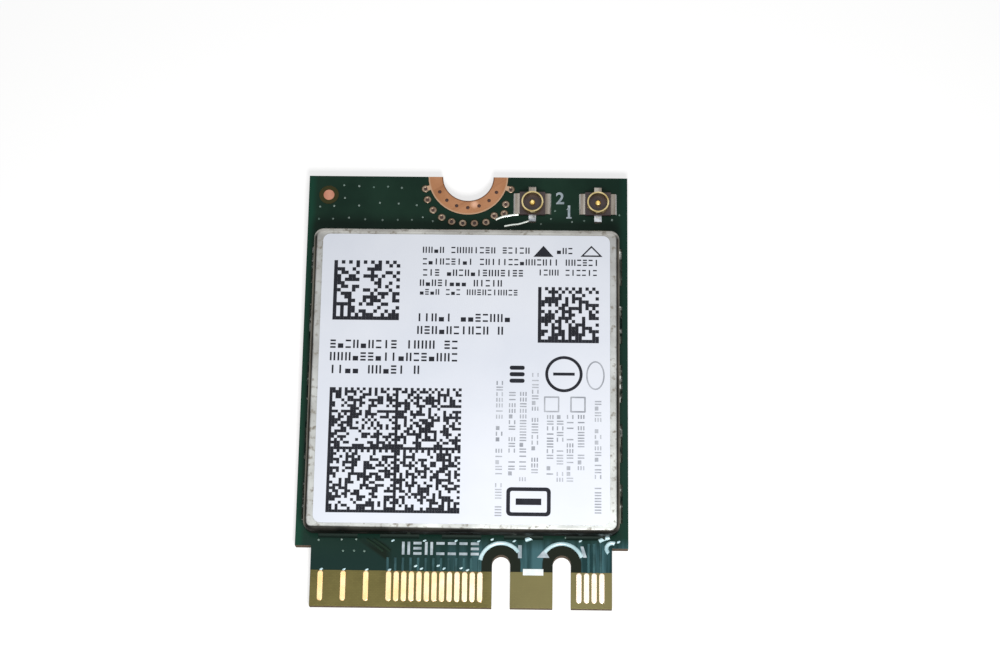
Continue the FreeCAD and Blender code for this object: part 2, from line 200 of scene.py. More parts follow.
# %% Finishes and groups
def start_finish(name, **shader_values):
    """New material with its shader's plain values set."""
    material = bpy.data.materials.new(name)
    material.use_nodes = True
    shader = material.node_tree.nodes["Principled BSDF"]
    for socket, value in shader_values.items():
        shader.inputs[socket.replace("_", " ")].default_value = value
    return material, material.node_tree, shader


def feed(shader, **sockets):
    """Link what varies over the surface to a shader's inputs."""
    for name, socket in sockets.items():
        shader.id_data.links.new(socket, shader.inputs[name.replace("_", " ")])


def start_group(name, output, **inputs):
    """New node group with number inputs and one number output."""
    tree = bpy.data.node_groups.new(name, "ShaderNodeTree")
    for title, value in inputs.items():
        tree.interface.new_socket(title, in_out="INPUT", socket_type="NodeSocketFloat").default_value = value
    tree.interface.new_socket(output, in_out="OUTPUT", socket_type="NodeSocketFloat")
    return tree, tree.nodes.new("NodeGroupInput").outputs, tree.nodes.new("NodeGroupOutput").inputs[0]


def use(tree, group, **values):
    """Place a node group, set its inputs, and return its output."""
    return put(tree, "ShaderNodeGroup", values, node_tree=group)[0]


print("helpers made: start_finish, feed, start_group and use")

# %% [markdown]
# ## Effects that several finishes share
# *Mottle* is soft patchy noise for the shield's tin, mask and paper. *Streaks* is the same noise pulled long
# in one direction, for brushed and scratched metal. Painted pictures could give the same, but noise has no
# seams, and it fits any size of part.

# %% Mottle and streaks
mottle, given, result = start_group("mottle", "Mask", Scale=500.0, Low=0.35, High=0.65)
patches = put(mottle, "ShaderNodeTexNoise", {
    "Vector": card_spot(mottle), "Scale": given["Scale"], "Detail": 5.0,
})[0]
mottle.links.new(ramp(mottle, patches, given["Low"], given["High"]), result)

streaks, given, result = start_group(
    "streaks", "Mask", Scale=900.0, Stretch=20.0, Turn=0.0, Low=0.5, High=0.7,
)
grain = put(streaks, "ShaderNodeMapping", {
    "Vector": card_spot(streaks), "Rotation": vector(streaks, z=given["Turn"]),
    "Scale": vector(streaks, given["Stretch"], 1.0, 1.0),
}, vector_type="TEXTURE")[0]
lines = put(streaks, "ShaderNodeTexNoise", {"Vector": grain, "Scale": given["Scale"], "Detail": 3.0})[0]
streaks.links.new(ramp(streaks, lines, given["Low"], given["High"]), result)
print("groups:", mottle.name, streaks.name)

# %% [markdown]
# ## Finding heights, slopes and slots
# Many finishes change with the shape: mask lies on the faces of the board and not on its cut edges, and
# painted shade sits in the bends of the shield. *Layer* tells high places from low ones, *steep* tells walls
# and bends from flat tops, and *slot zone* finds the margin round a key slot. They read the shape itself, so
# nothing has to be painted by hand.

# %% Layer, steep and slot zone
layer, given, result = start_group("layer", "Above", Height=0.8 * MM, Blend=0.01 * MM)
height = parts(layer, card_spot(layer))["Z"]
top = figure(layer, "ADD", given["Height"], given["Blend"])
layer.links.new(ramp(layer, height, given["Height"], top), result)

steep, given, result = start_group("steep", "Mask", Flat=0.99, Wall=0.85)
upward = parts(steep, put(steep, "ShaderNodeNewGeometry")["Normal"])["Z"]
steep.links.new(ramp(steep, figure(steep, "ABSOLUTE", upward), given["Flat"], given["Wall"]), result)

slot_zone, given, result = start_group(
    "slot_zone", "Mask", Middle=0.0, End=0.0, Reach=1.0 * MM, Blend=0.2 * MM,
)
axes = parts(slot_zone, card_spot(slot_zone))
aside = figure(slot_zone, "SUBTRACT", axes["X"], given["Middle"])
beyond = figure(slot_zone, "MAXIMUM", figure(slot_zone, "SUBTRACT", axes["Y"], given["End"]), 0.0)
distance = measure(slot_zone, "LENGTH", vector(slot_zone, aside, beyond))
far = figure(slot_zone, "ADD", given["Reach"], given["Blend"])
slot_zone.links.new(ramp(slot_zone, distance, far, given["Reach"]), result)
print("groups:", [g.name for g in bpy.data.node_groups])

# %% [markdown]
# ## Board: laminate
# A printed board is laminate, woven glass in resin, under a thin glossy skin of green mask.
# Where the mask is left open, round the contacts, the olive laminate shows. It is paler at
# the right of the tab, darker at the rear, and brown where it is cut. A brick pattern gives
# the weave, and soft patches of resin keep it from looking too regular.

# %% Laminate
WEAVE_SCALE = 2200.0
WEAVE = {"Color1": paint(106, 98, 56), "Color2": paint(90, 84, 46), "Mortar": paint(80, 72, 42)}
RESIN = (112, 105, 62)
PALER_RIGHT_LAMINATE, PALER_RIGHT_X = (124, 118, 82), (1.5, 3.5)
SHADED, SHADED_Y = (60, 58, 34), (0.0, 5.0)
CUT_EDGE = (82, 64, 44)

board_finish, tree, shader = start_finish("mask_on_laminate", Specular_IOR_Level=0.08)
spot = card_spot(tree)
axes = parts(tree, spot)
weave = put(tree, "ShaderNodeTexBrick", {
    "Vector": spot, "Scale": WEAVE_SCALE, "Mortar Size": 0.03, **WEAVE,
}, offset=0.5)["Color"]
laminate = blend(tree, use(tree, mottle, Scale=420.0, Low=0.3, High=0.7), weave, RESIN)
laminate = blend(tree, over(tree, axes["X"], PALER_RIGHT_X, last=0.6), laminate, PALER_RIGHT_LAMINATE)
laminate = blend(tree, over(tree, axes["Y"], SHADED_Y), laminate, SHADED)
laminate = blend(tree, use(tree, steep, Flat=0.6, Wall=0.3), laminate, CUT_EDGE)
print(board_finish.name, "has", len(tree.nodes), "nodes for its laminate")

# %% [markdown]
# ## Board: green mask
# The mask is a clear green lacquer, so what lies under it sets its shade. It is patchy over the inner copper
# and a little bluer at the front. Along the long edges it is painted brighter, more at the left than at the
# right, as painted glare. Each of these is one more blend by place.

# %% Green mask
BOARD_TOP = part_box("circuit_board")[1].z
BOARD_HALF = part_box("circuit_board")[1].x / MM
MASK_GREEN = ((16, 40, 30), (26, 52, 40))
FRONT_GREEN, FRONT_Y = (20, 44, 40), (-9.0, -12.0)
GLARE_MARGIN_GREEN = ((21, 63, 48), (17, 50, 40))
GLARE_MARGIN_X = (BOARD_HALF - 0.6, BOARD_HALF - 0.25)
MIDDLE_X = (-1.0, 1.0)

mask_green = blend(tree, use(tree, mottle, Scale=260.0, Low=0.4, High=0.62), *MASK_GREEN)
mask_green = blend(tree, over(tree, axes["Y"], FRONT_Y), mask_green, FRONT_GREEN)
# Painted glare: the long edges of the mask are painted brighter, more at the left than at the right.
glare_margin = over(tree, figure(tree, "ABSOLUTE", axes["X"]), GLARE_MARGIN_X)
glare_margin_green = blend(tree, over(tree, axes["X"], MIDDLE_X), *GLARE_MARGIN_GREEN)
mask_green = blend(tree, glare_margin, mask_green, glare_margin_green)
print("board top at", round(BOARD_TOP / MM, 3), "mm, half width", round(BOARD_HALF, 3), "mm")

# %% [markdown]
# ## Board: copper under the mask
# On the contact tab the tracks shine through the mask as bluish streaks, most of all at the
# right. Where there is no copper the board is nearly black: in a slanted strip at the left
# of the tab, and in a margin round each key slot. The strip is cut out by a line across it,
# the margins by the slot zone.

# %% Copper under the mask
TRACK_TONE = ((22, 52, 54), (62, 98, 104))
TRACKS_X, TAB_Y = (-4.0, 4.0), (-10.3, -11.2)
BARE_BOARD, BARE_X = (15, 28, 19), (-4.5, -5.0)
BARE_ACROSS = Vector((0.57, 0.82, 0.0))
BARE_EDGES = ((-12.66, -12.50), (-11.66, -11.82))
KEY_MIDDLES = (2.625, 6.625)
KEY_END_Y = -12.1
KEY_RADIUS = 0.6
KEY_MARGIN = 0.66
KEY_BLEND = 0.06
KEY_DARK = (24, 30, 22)

bright_track = use(tree, streaks, Scale=1700.0, Stretch=14.0, Turn=math.pi / 2, Low=0.42, High=0.6)
on_tab = over(tree, axes["Y"], TAB_Y)
track_share = figure(tree, "MULTIPLY", over(tree, axes["X"], TRACKS_X), on_tab)
mask_colour = blend(tree, track_share, mask_green, blend(tree, bright_track, *TRACK_TONE))
slant = measure(tree, "DOT_PRODUCT", spot, BARE_ACROSS)
bare_strip = figure(tree, "MULTIPLY", over(tree, axes["X"], BARE_X), on_tab)
for edge in BARE_EDGES:
    bare_strip = figure(tree, "MULTIPLY", bare_strip, over(tree, slant, edge))
mask_colour = blend(tree, bare_strip, mask_colour, BARE_BOARD)
for middle in KEY_MIDDLES:
    zone = use(
        tree, slot_zone, Middle=middle * MM, End=KEY_END_Y * MM, Reach=(KEY_RADIUS + KEY_MARGIN) * MM,
        Blend=KEY_BLEND * MM,
    )
    mask_colour = blend(tree, zone, mask_colour, KEY_DARK)
print("dark margins round", len(KEY_MIDDLES), "key slots")

# %% [markdown]
# ## Board: mask on the faces only
# The last step puts the layers together. Within a hair of the top or the bottom the mask
# shows, smooth and glossy. Between them the dull laminate shows. A faint ripple in the
# surface breaks up the reflections, as lacquer over a weave does.

# %% Board finish put together
BOARD_SKIN = 0.015 * MM
SKIN_BLEND = 0.001 * MM
BOARD_ROUGH = (0.6, 0.26)

on_top = use(tree, layer, Height=BOARD_TOP - BOARD_SKIN, Blend=SKIN_BLEND)
off_bottom = use(tree, layer, Height=BOARD_SKIN, Blend=SKIN_BLEND)
on_face = figure(tree, "MAXIMUM", on_top, figure(tree, "SUBTRACT", 1.0, off_bottom))
ripple = put(tree, "ShaderNodeTexNoise", {"Vector": spot, "Scale": 1500.0, "Detail": 2.0})[0]
bump = put(tree, "ShaderNodeBump", {"Height": ripple, "Strength": 0.05, "Distance": 0.05 * MM})[0]
feed(
    shader, Base_Color=blend(tree, on_face, laminate, mask_colour),
    Roughness=between(tree, on_face, *BOARD_ROUGH), Normal=bump,
)
print(board_finish.name, "has", len(tree.nodes), "nodes in all")

# %% [markdown]
# ## Contact gold
# The edge contacts are copper strips with a hard gold skin. Their faces are bright and lightly scratched
# along the way they slide, and painted paler towards the right as painted sheen. At their sides the reddish
# copper shows. The colour of a metal tints what it reflects, so the gold is written as pale as it looks under
# a white sky.

# %% Contact gold
DEEP_GOLD = ((244, 203, 140), (249, 218, 168))
SHEEN_GOLD, SHEEN_X = ((246, 226, 200), (250, 234, 218)), (-6.0, 6.0)
SIDE_COPPER = (150, 88, 62)
GOLD_ROUGH = (0.2, 0.36)
UPPER_FACE, LOWER_FACE, FACE_BLEND = BOARD_TOP - 0.026 * MM, 0.006 * MM, 0.02 * MM

contact_gold, tree, shader = start_finish("gold_plating", Metallic=1.0)
patch = use(tree, mottle, Scale=1100.0, Low=0.35, High=0.7)
# Painted sheen: the gold is painted paler towards the right.
sheen_share = over(tree, parts(tree, card_spot(tree))["X"], SHEEN_X)
face_gold = blend(tree, sheen_share, blend(tree, patch, *DEEP_GOLD), blend(tree, patch, *SHEEN_GOLD))
upper = use(tree, layer, Height=UPPER_FACE, Blend=FACE_BLEND)
lower = use(tree, layer, Height=LOWER_FACE, Blend=FACE_BLEND)
on_face = figure(tree, "MAXIMUM", upper, figure(tree, "SUBTRACT", 1.0, lower))
wear = use(tree, streaks, Scale=4000.0, Turn=math.pi / 2, Low=0.4, High=0.8)
feed(
    shader, Base_Color=blend(tree, on_face, SIDE_COPPER, face_gold),
    Roughness=between(tree, wear, *GOLD_ROUGH),
)
print(contact_gold.name, "has", len(tree.nodes), "nodes")

# %% [markdown]
# ## Ring copper
# A ring of bare copper surrounds the screw notch, so that the screw's head can ground the card. It is
# scuffed, paler at its rim and dark at the lip of the notch, and carries a small painted glint near its inner
# edge. All of these follow from the distance to the notch's middle or to the glint's spot.

# %% Ring copper
RING_CENTRE = Vector((0.0, cad_box[1].y, 0.0))
RING_INNER = 1.75
RING_OUTER = 2.75
RIM_SPAN = (RING_OUTER - 0.12, RING_OUTER - 0.04)
LIP_SPAN = (RING_INNER + 0.09, RING_INNER + 0.02)
GLINT_SPOT, GLINT_SPAN = Vector((0.46, 13.0, 0.0)) * MM, (0.34, 0.1)
COPPER, COPPER_ROUGH = ((154, 108, 76), (171, 124, 92)), (0.32, 0.5)
SCUFFED, PALE_RIM, GLINT_COPPER, DARK_LIP = (138, 94, 66), (178, 146, 120), (208, 163, 136), (78, 48, 33)

ring_copper, tree, shader = start_finish("bare_copper", Metallic=1.0)
flat = put(tree, "ShaderNodeVectorMath", {0: card_spot(tree), 1: (1.0, 1.0, 0.0)}, operation="MULTIPLY")[0]
radius = measure(tree, "DISTANCE", flat, RING_CENTRE)
patch = use(tree, mottle, Scale=800.0, Low=0.3, High=0.7)
copper = blend(tree, patch, *COPPER)
copper = blend(tree, use(tree, streaks, Scale=1300.0, Turn=0.6, Low=0.55, High=0.72), copper, SCUFFED)
copper = blend(tree, over(tree, radius, RIM_SPAN), copper, PALE_RIM)
# Painted glint: a small bright spot near the ring's inner edge.
from_glint = measure(tree, "DISTANCE", flat, GLINT_SPOT)
copper = blend(tree, over(tree, from_glint, GLINT_SPAN), copper, GLINT_COPPER)
copper = blend(tree, over(tree, radius, LIP_SPAN), copper, DARK_LIP)
feed(shader, Base_Color=copper, Roughness=between(tree, patch, *COPPER_ROUGH))
print(ring_copper.name, "round the notch at y", round(RING_CENTRE.y / MM, 2), "mm")

# %% [markdown]
# ## Shield tin: top of the lid
# The shield is thin tinned sheet. Only a narrow rim of its top shows round the label. The rim is specked, and
# brighter towards the front and the right. Lamps alone didn't give that, so the finish carries it as painted
# light. Two slow ramps along the card, multiplied, say how much painted light a place gets.

# %% Tin on top of the lid
DIM_TIN = ((143, 142, 139), (167, 168, 166))
PAINTED_LIGHT_TIN, PAINTED_LIGHT_Y, PAINTED_LIGHT_X = ((185, 187, 184), (217, 220, 217)), (10.0, -9.5), (-9.0, 1.0)
REAR_SHEEN_TIN, REAR_SHEEN_Y = ((158, 156, 151), (186, 185, 180)), (10.2, 10.4)
TIN_SPECK = (126, 121, 112)

tin, tree, shader = start_finish("tinned_sheet", Metallic=1.0)
spot = card_spot(tree)
axes = parts(tree, spot)
patch = use(tree, mottle, Scale=520.0, Low=0.36, High=0.64)
# Painted light: the rim is painted brighter towards the front and the right.
painted_light = figure(tree, "MULTIPLY", over(tree, axes["Y"], PAINTED_LIGHT_Y), over(tree, axes["X"], PAINTED_LIGHT_X, first=0.6))
metal = blend(tree, painted_light, blend(tree, patch, *DIM_TIN), blend(tree, patch, *PAINTED_LIGHT_TIN))
# Painted sheen: the rear rim is painted brighter where it starts to bend.
metal = blend(tree, over(tree, axes["Y"], REAR_SHEEN_Y), metal, blend(tree, patch, *REAR_SHEEN_TIN))
metal = blend(tree, use(tree, mottle, Scale=3000.0, Low=0.55, High=0.7), metal, TIN_SPECK)
print(tin.name, "has", len(tree.nodes), "nodes for its top")

# %% [markdown]
# ## Shield tin: bends and walls
# The bends and walls carry painted shade and painted dark reflection: brown at the sides, and nearly black on
# the front wall and in a thin strip above it. The rear bend is left without it. *Steep* finds the bends, and
# the way that the surface faces tells the front from the rear.

# %% Painted shade on bends and walls
LID_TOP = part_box("shield_lid")[1].z
FRONT_PAINTED_SHADE = ((26, 26, 25), (46, 45, 42))
SIDE_PAINTED_SHADE = ((70, 66, 58), (104, 99, 88))
FRONT_SHADE_LINE, FRONT_SHADE_Y = (0.006, 1.0, 0.0), (-9.97, -10.05)
REAR_FACING, FRONT_FACING = (0.0, 0.3), (-0.2, -0.6)
WALL_DEPTH, WALL_BLEND = 0.2 * MM, 0.05 * MM
TIN_ROUGH = (0.36, 0.54)

facing = parts(tree, put(tree, "ShaderNodeNewGeometry")["Normal"])["Y"]
not_rear = ramp(tree, facing, *REAR_FACING, 1.0, 0.0)
bend = figure(tree, "MULTIPLY", use(tree, steep, Flat=0.998, Wall=0.94), not_rear)
ledge = use(tree, steep, Flat=0.7, Wall=0.9)
forward = figure(tree, "MAXIMUM", ramp(tree, facing, *FRONT_FACING), ledge)
front_shade = blend(tree, patch, *FRONT_PAINTED_SHADE)
bend_shade_colour = blend(tree, forward, blend(tree, patch, *SIDE_PAINTED_SHADE), front_shade)
metal = blend(tree, bend, metal, bend_shade_colour)
# Painted shade: a thin strip of the top along the front edge is painted nearly black.
front_edge = over(tree, measure(tree, "DOT_PRODUCT", spot, FRONT_SHADE_LINE), FRONT_SHADE_Y)
metal = blend(tree, front_edge, metal, front_shade)
near_top = use(tree, layer, Height=LID_TOP - WALL_DEPTH, Blend=WALL_BLEND)
grain = use(tree, mottle, Scale=3200.0, Low=0.3, High=0.7)
bump = put(tree, "ShaderNodeBump", {"Height": grain, "Strength": 0.15, "Distance": 0.02 * MM})[0]
feed(
    shader, Base_Color=blend(tree, near_top, bend_shade_colour, metal),
    Roughness=between(tree, patch, *TIN_ROUGH), Normal=bump,
)
print("lid top at", round(LID_TOP / MM, 3), "mm")

# %% [markdown]
# ## Solder
# Clean solder is a bright, slightly cloudy metal. At the foot of the shield it is mixed with dark flux in
# patches, and bare metal with shiny spots comes through between them. Along the front the same dark colour
# covers it all, as painted shade under the front wall. So that finish is metal in some patches only.

# %% Solder
BRIGHT_SOLDER, BRIGHT_ROUGH = ((165, 163, 161), (194, 192, 189)), (0.18, 0.34)
FOOT_SOLDER, FOOT_ROUGH = ((116, 117, 107), (236, 235, 230)), (0.55, 0.25)
FLUX_AND_SHADE, OUT_OF_SHADE_Y = (20, 34, 29), (-10.2, -9.9)

solder, tree, shader = start_finish("bright_solder", Metallic=1.0)
patch = use(tree, mottle, Scale=1500.0, Low=0.35, High=0.65)
feed(shader, Base_Color=blend(tree, patch, *BRIGHT_SOLDER), Roughness=between(tree, patch, *BRIGHT_ROUGH))

fillet_solder, tree, shader = start_finish("solder_with_flux_and_shade", Specular_IOR_Level=0.1)
# Painted shade: along the front the solder is all dark, as shade under the front wall.
out_of_shade = over(tree, parts(tree, card_spot(tree))["Y"], OUT_OF_SHADE_Y)
bare = figure(tree, "MULTIPLY", out_of_shade, use(tree, mottle, Scale=1300.0, Low=0.4, High=0.56))
metal = blend(tree, use(tree, mottle, Scale=1900.0, Low=0.52, High=0.58), *FOOT_SOLDER)
feed(
    shader, Base_Color=blend(tree, bare, FLUX_AND_SHADE, metal), Metallic=bare,
    Roughness=between(tree, bare, *FOOT_ROUGH),
)
print("solders:", solder.name, fillet_solder.name)

# %% [markdown]
# ## Socket metals
# Each antenna socket has a gold ring on tinned legs, and a gold pin on a tinned tail. Ring
# and legs are one piece of sheet, so the finish changes by height: tin up to the thickness
# of the sheet, gold above it.

# %% Socket gold and tinned legs
SOCKET_SHEET = 0.1
ABOVE_LEGS = {"Height": BOARD_TOP + (SOCKET_SHEET + 0.01) * MM, "Blend": 0.02 * MM}
RING_GOLD = ((174, 153, 101), (204, 188, 140))
LEG_TIN = ((166, 160, 151), (116, 106, 96))
PIN_GOLD = ((230, 190, 100), (240, 218, 148))
TAIL_TIN = ((100, 103, 108), (196, 200, 205))
RING_ROUGH, PIN_ROUGH = (0.2, 0.34), (0.2, 0.4)

socket_metal, tree, shader = start_finish("socket_gold_and_tin", Metallic=1.0)
patch = use(tree, mottle, Scale=1400.0, Low=0.35, High=0.65)
leg = blend(tree, use(tree, streaks, Scale=1800.0, Turn=math.pi / 2, Low=0.4, High=0.65), *LEG_TIN)
socket_colour = blend(tree, use(tree, layer, **ABOVE_LEGS), leg, blend(tree, patch, *RING_GOLD))
feed(shader, Base_Color=socket_colour, Roughness=between(tree, patch, *RING_ROUGH))

socket_pin, tree, shader = start_finish("gold_pin_and_tinned_tail", Metallic=1.0)
patch = use(tree, mottle, Scale=1900.0, Low=0.4, High=0.6)
tail, pin_gold = blend(tree, patch, *TAIL_TIN), blend(tree, patch, *PIN_GOLD)
pin_colour = blend(tree, use(tree, layer, **ABOVE_LEGS), tail, pin_gold)
feed(shader, Base_Color=pin_colour, Roughness=between(tree, patch, *PIN_ROUGH))
print("socket metals:", socket_metal.name, socket_pin.name)

# %% [markdown]
# ## Plastics, ceramics, paper and ink
# None of these is one flat colour. Moulded plastic has a fine grain, ceramic is cloudy,
# paper has a faint tint that comes and goes, and ink lies unevenly. A tree for each would
# be much the same, so one recipe serves them all: two close shades that follow soft patches.

# %% Plain finishes with a grain
def grained_finish(name, dark, light, scale, roughness, low=0.35, high=0.65, **shader_values):
    """Finish in two close shades that follow soft patches."""
    material, tree, shader = start_finish(name, Roughness=roughness, **shader_values)
    patch = use(tree, mottle, Scale=scale, Low=low, High=high)
    feed(shader, Base_Color=blend(tree, patch, dark, light))
    return material


socket_plastic = grained_finish("dark_plastic", (38, 26, 28), (58, 42, 42), 1500.0, 0.4)
chip_black = grained_finish("moulded_chip", (32, 32, 34), (44, 44, 46), 2400.0, 0.55)
ceramic_grey = grained_finish("grey_ceramic", (150, 144, 134), (176, 168, 156), 1200.0, 0.5)
ceramic_tan = grained_finish("tan_ceramic", (164, 128, 92), (190, 154, 116), 1400.0, 0.45)
coil_grey = grained_finish("ferrite", (84, 84, 88), (104, 104, 108), 1800.0, 0.5)
resistor_black = grained_finish("dark_glaze", (40, 40, 44), (62, 62, 66), 1500.0, 0.4)
# Painted shade for the inside of the plated holes.
hole_shade = grained_finish("painted_hole_shade", (44, 20, 16), (70, 34, 26), 2600.0, 0.5)
# Painted glint: the covered holes are painted pale.
via_glint = grained_finish("via_glint", (84, 112, 102), (138, 154, 148), 700.0, 0.4)
faint_ink = grained_finish("faint_ink", (142, 146, 155), (186, 190, 198), 700.0, 0.55)
board_ink = grained_finish("board_ink", (134, 148, 156), (182, 194, 202), 1800.0, 0.5)
# Painted glint: white for the block on the mask's front edge between the contacts.
glint_white = grained_finish("glint_white", (208, 216, 218), (236, 242, 243), 1500.0, 0.5)
print_ink = grained_finish("print_ink", (20, 22, 30), (32, 34, 42), 1600.0, 0.55, Specular_IOR_Level=0.2)
label_paper = grained_finish(
    "label_stock", (220, 225, 236), (229, 233, 242), 120.0, 0.42, Specular_IOR_Level=0.2,
)
print("inks:", faint_ink.name, board_ink.name, glint_white.name, print_ink.name)

# %% [markdown]
# ## Small metals and raised mask
# The same recipe, with `Metallic` at 1, gives the small metal parts: the copper dot, the plated pads and the
# dull sheet of the frame. Mask over a raised track is a finish of this kind too, a little brighter or darker
# by what lies under it. The pale mask on the front copper edges and on the oval holes near the contacts is
# painted glint, and the bright metal along the feed is painted glint as well.

# %% Small metals and raised mask
dot_copper = grained_finish("dot_copper", (168, 113, 93), (190, 137, 115), 1500.0, 0.4, Metallic=1.0)
pad_metal = grained_finish("pad_plating", (120, 100, 84), (146, 130, 113), 1500.0, 0.35, Metallic=1.0)
dull_sheet = grained_finish("dull_sheet", (32, 31, 29), (48, 46, 42), 900.0, 0.5, Metallic=1.0)
# Painted glint: pale mask for the front copper edges and the oval holes near the contacts.
glint_mask = grained_finish(
    "mask_with_painted_glint", (150, 186, 194), (204, 230, 236), 900.0, 0.28, low=0.3, high=0.7,
    Specular_IOR_Level=1.0,
)
# Painted glint: bright metal stands in for the glints along the feed.
feed_glint = grained_finish("feed_with_painted_glint", (200, 207, 200), (230, 233, 225), 900.0, 0.3, Metallic=1.0)
track_mask = grained_finish("mask_over_track", (26, 60, 62), (52, 92, 96), 900.0, 0.3, Specular_IOR_Level=0.3)
corner_mask = grained_finish(
    "mask_over_corner_track", (20, 37, 27), (27, 46, 34), 900.0, 0.4, Specular_IOR_Level=0.1,
)
print("masks:", glint_mask.name, feed_glint.name, track_mask.name, corner_mask.name)

# %% [markdown]
# ## Finishes on the CAD parts
# Each CAD part takes one finish in its first material slot. Parts under the closed shield
# get one too, because the card may be shown opened up some day.

# %% Finishes on the CAD parts
finish_of_node = {
    "circuit_board": board_finish,
    "annular_ring": ring_copper,
    "edge_contacts_top": contact_gold,
    "edge_contacts_bottom": contact_gold,
    "ground_via_pads": pad_metal,
    "fiducial_mark": dot_copper,
    "shield_frame": dull_sheet,
    "shield_lid": tin,
    "shield_solder": fillet_solder,
    "label": label_paper,
    "radio_chip": chip_black,
    "settings_memory": chip_black,
    "crystal_package": ceramic_grey,
    "crystal_lid": tin,
    "capacitors": ceramic_tan,
    "resistors": resistor_black,
}
for number in (1, 2):
    finish_of_node[f"front_end_module_{number}"] = chip_black
    finish_of_node[f"band_filter_{number}"] = ceramic_grey
    finish_of_node[f"power_inductor_{number}"] = coil_grey
    finish_of_node[f"antenna_socket_{number}_shell"] = socket_metal
    finish_of_node[f"antenna_socket_{number}_pin"] = socket_pin
    finish_of_node[f"antenna_socket_{number}_insulator"] = socket_plastic
    finish_of_node[f"antenna_socket_{number}_solder"] = solder
for name, material in finish_of_node.items():
    cad[name].data.materials.clear()
    cad[name].data.materials.append(material)
print("finishes on", len(finish_of_node), "CAD parts")

# %% [markdown]
# ## Keeping a piece
# A mesh needs an object before it shows. `keep` then ties the finished piece to the card. Every piece stays
# at the origin, with its place in its mesh, as the CAD parts are.

# %% Keeping a piece
def link_piece(name, mesh):
    """New object for a mesh, a text or a lamp, placed in the scene."""
    piece = bpy.data.objects.new(name, mesh)
    scene.collection.objects.link(piece)
    return piece


def keep(piece):
    """Tie a finished piece to the card."""
    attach(piece, "root")
    print(piece.name, len(piece.data.polygons), "faces")


print("helpers made: link_piece and keep")

# %% [markdown]
# ## Thin plates
# Small flat pieces, such as print, are thin plates with a closed outline. `Plates` collects
# many of them in one mesh, which is lighter than an object for each. A band is a plate with
# a hole: four rings of points, joined by walls.

# %% Thin plates
class Plates:
    """Collects thin plates between two heights into one mesh. Outlines are in millimetres."""

    def __init__(self, low, high):
        self.mesh = bmesh.new()
        self.low = low
        self.high = high

    def level(self, outline, height):
        return [self.mesh.verts.new((x * MM, y * MM, height)) for x, y in outline]

    def walls(self, first, second):
        for i in range(len(first)):
            j = (i + 1) % len(first)
            self.mesh.faces.new((first[i], first[j], second[j], second[i]))

    def plate(self, outline):
        low = self.level(outline, self.low)
        high = self.level(outline, self.high)
        self.mesh.faces.new(high)
        self.mesh.faces.new(low[::-1])
        self.walls(low, high)

    def band(self, outer, inner):
        rings = [self.level(line, z) for line in (outer, inner) for z in (self.low, self.high)]
        for first, second in ((0, 1), (3, 2), (1, 3), (2, 0)):
            self.walls(rings[first], rings[second])

    def box(self, x_low, x_high, y_low, y_high):
        self.plate([(x_low, y_low), (x_high, y_low), (x_high, y_high), (x_low, y_high)])

    def piece(self, name, material):
        bmesh.ops.recalc_face_normals(self.mesh, faces=self.mesh.faces)
        data = bpy.data.meshes.new(name)
        self.mesh.to_mesh(data)
        self.mesh.free()
        data.materials.append(material)
        return link_piece(name, data)


print("helper made: Plates")

# %% [markdown]
# ## Outlines
# Labels and printed marks are rectangles with round corners, circles and ovals. Both
# helpers walk round the shape anticlockwise, so that every plate is wound the same way.

# %% Outlines
def rounded_outline(x_low, x_high, y_low, y_high, radius, steps=8):
    """Corner points of a rectangle with round corners."""
    corners = [
        (x_high - radius, y_high - radius, 0), (x_low + radius, y_high - radius, 90),
        (x_low + radius, y_low + radius, 180), (x_high - radius, y_low + radius, 270),
    ]
    points = []
    for x, y, start in corners:
        for step in range(steps + 1):
            angle = math.radians(start + 90 * step / steps)
            points.append((x + radius * math.cos(angle), y + radius * math.sin(angle)))
    return points


def oval_outline(x, y, half_width, half_height, steps=40):
    """Points round an oval."""
    turns = [2 * math.pi * step / steps for step in range(steps)]
    return [(x + half_width * math.cos(t), y + half_height * math.sin(t)) for t in turns]


print("points on an oval:", len(oval_outline(0, 0, 1, 1)))

# %% [markdown]
# ## Building a tree
# What repeats on the card, such as contacts, pads and code modules, is made by small
# Geometry Nodes trees. Each has named inputs for its sizes and its finish. Copies in a tree
# are only references at first, so each tree ends by making them real and setting the finish.

# %% Building a tree
def start_nodes(name, *numbers, whole=()):
    """New Geometry Nodes tree with number inputs and a finish. Returns it and its inputs."""
    tree = bpy.data.node_groups.new(name, "GeometryNodeTree")
    kinds = {"Geometry": "Geometry", **dict.fromkeys(numbers, "Float"), **dict.fromkeys(whole, "Int")}
    for title, kind in {**kinds, "Finish": "Material"}.items():
        tree.interface.new_socket(title, in_out="INPUT", socket_type="NodeSocket" + kind)
    tree.interface.new_socket("Geometry", in_out="OUTPUT", socket_type="NodeSocketGeometry")
    return tree, tree.nodes.new("NodeGroupInput").outputs


def copies(tree, points, shape, **choice):
    """A copy of a shape at every point, or at those that are chosen."""
    return put(tree, "GeometryNodeInstanceOnPoints", {"Points": points, "Instance": shape, **choice})[0]


def end_nodes(tree, shape, given):
    """Close a tree: real geometry, then its finish. Returns the tree."""
    real = put(tree, "GeometryNodeRealizeInstances", {"Geometry": shape})[0]
    coated = put(tree, "GeometryNodeSetMaterial", {"Geometry": real, "Material": given["Finish"]})[0]
    tree.links.new(coated, tree.nodes.new("NodeGroupOutput").inputs[0])
    print(tree.name, "tree has", len(tree.nodes), "nodes")
    return tree


print("helpers made: start_nodes, copies and end_nodes")

# %% [markdown]
# ## Running a tree
# A tree runs as a modifier on a mesh of points. Its inputs are set by their identifiers
# before the first look at the result. The result is then turned into a plain mesh, because
# later steps need real faces, and the points go, with their modifier.

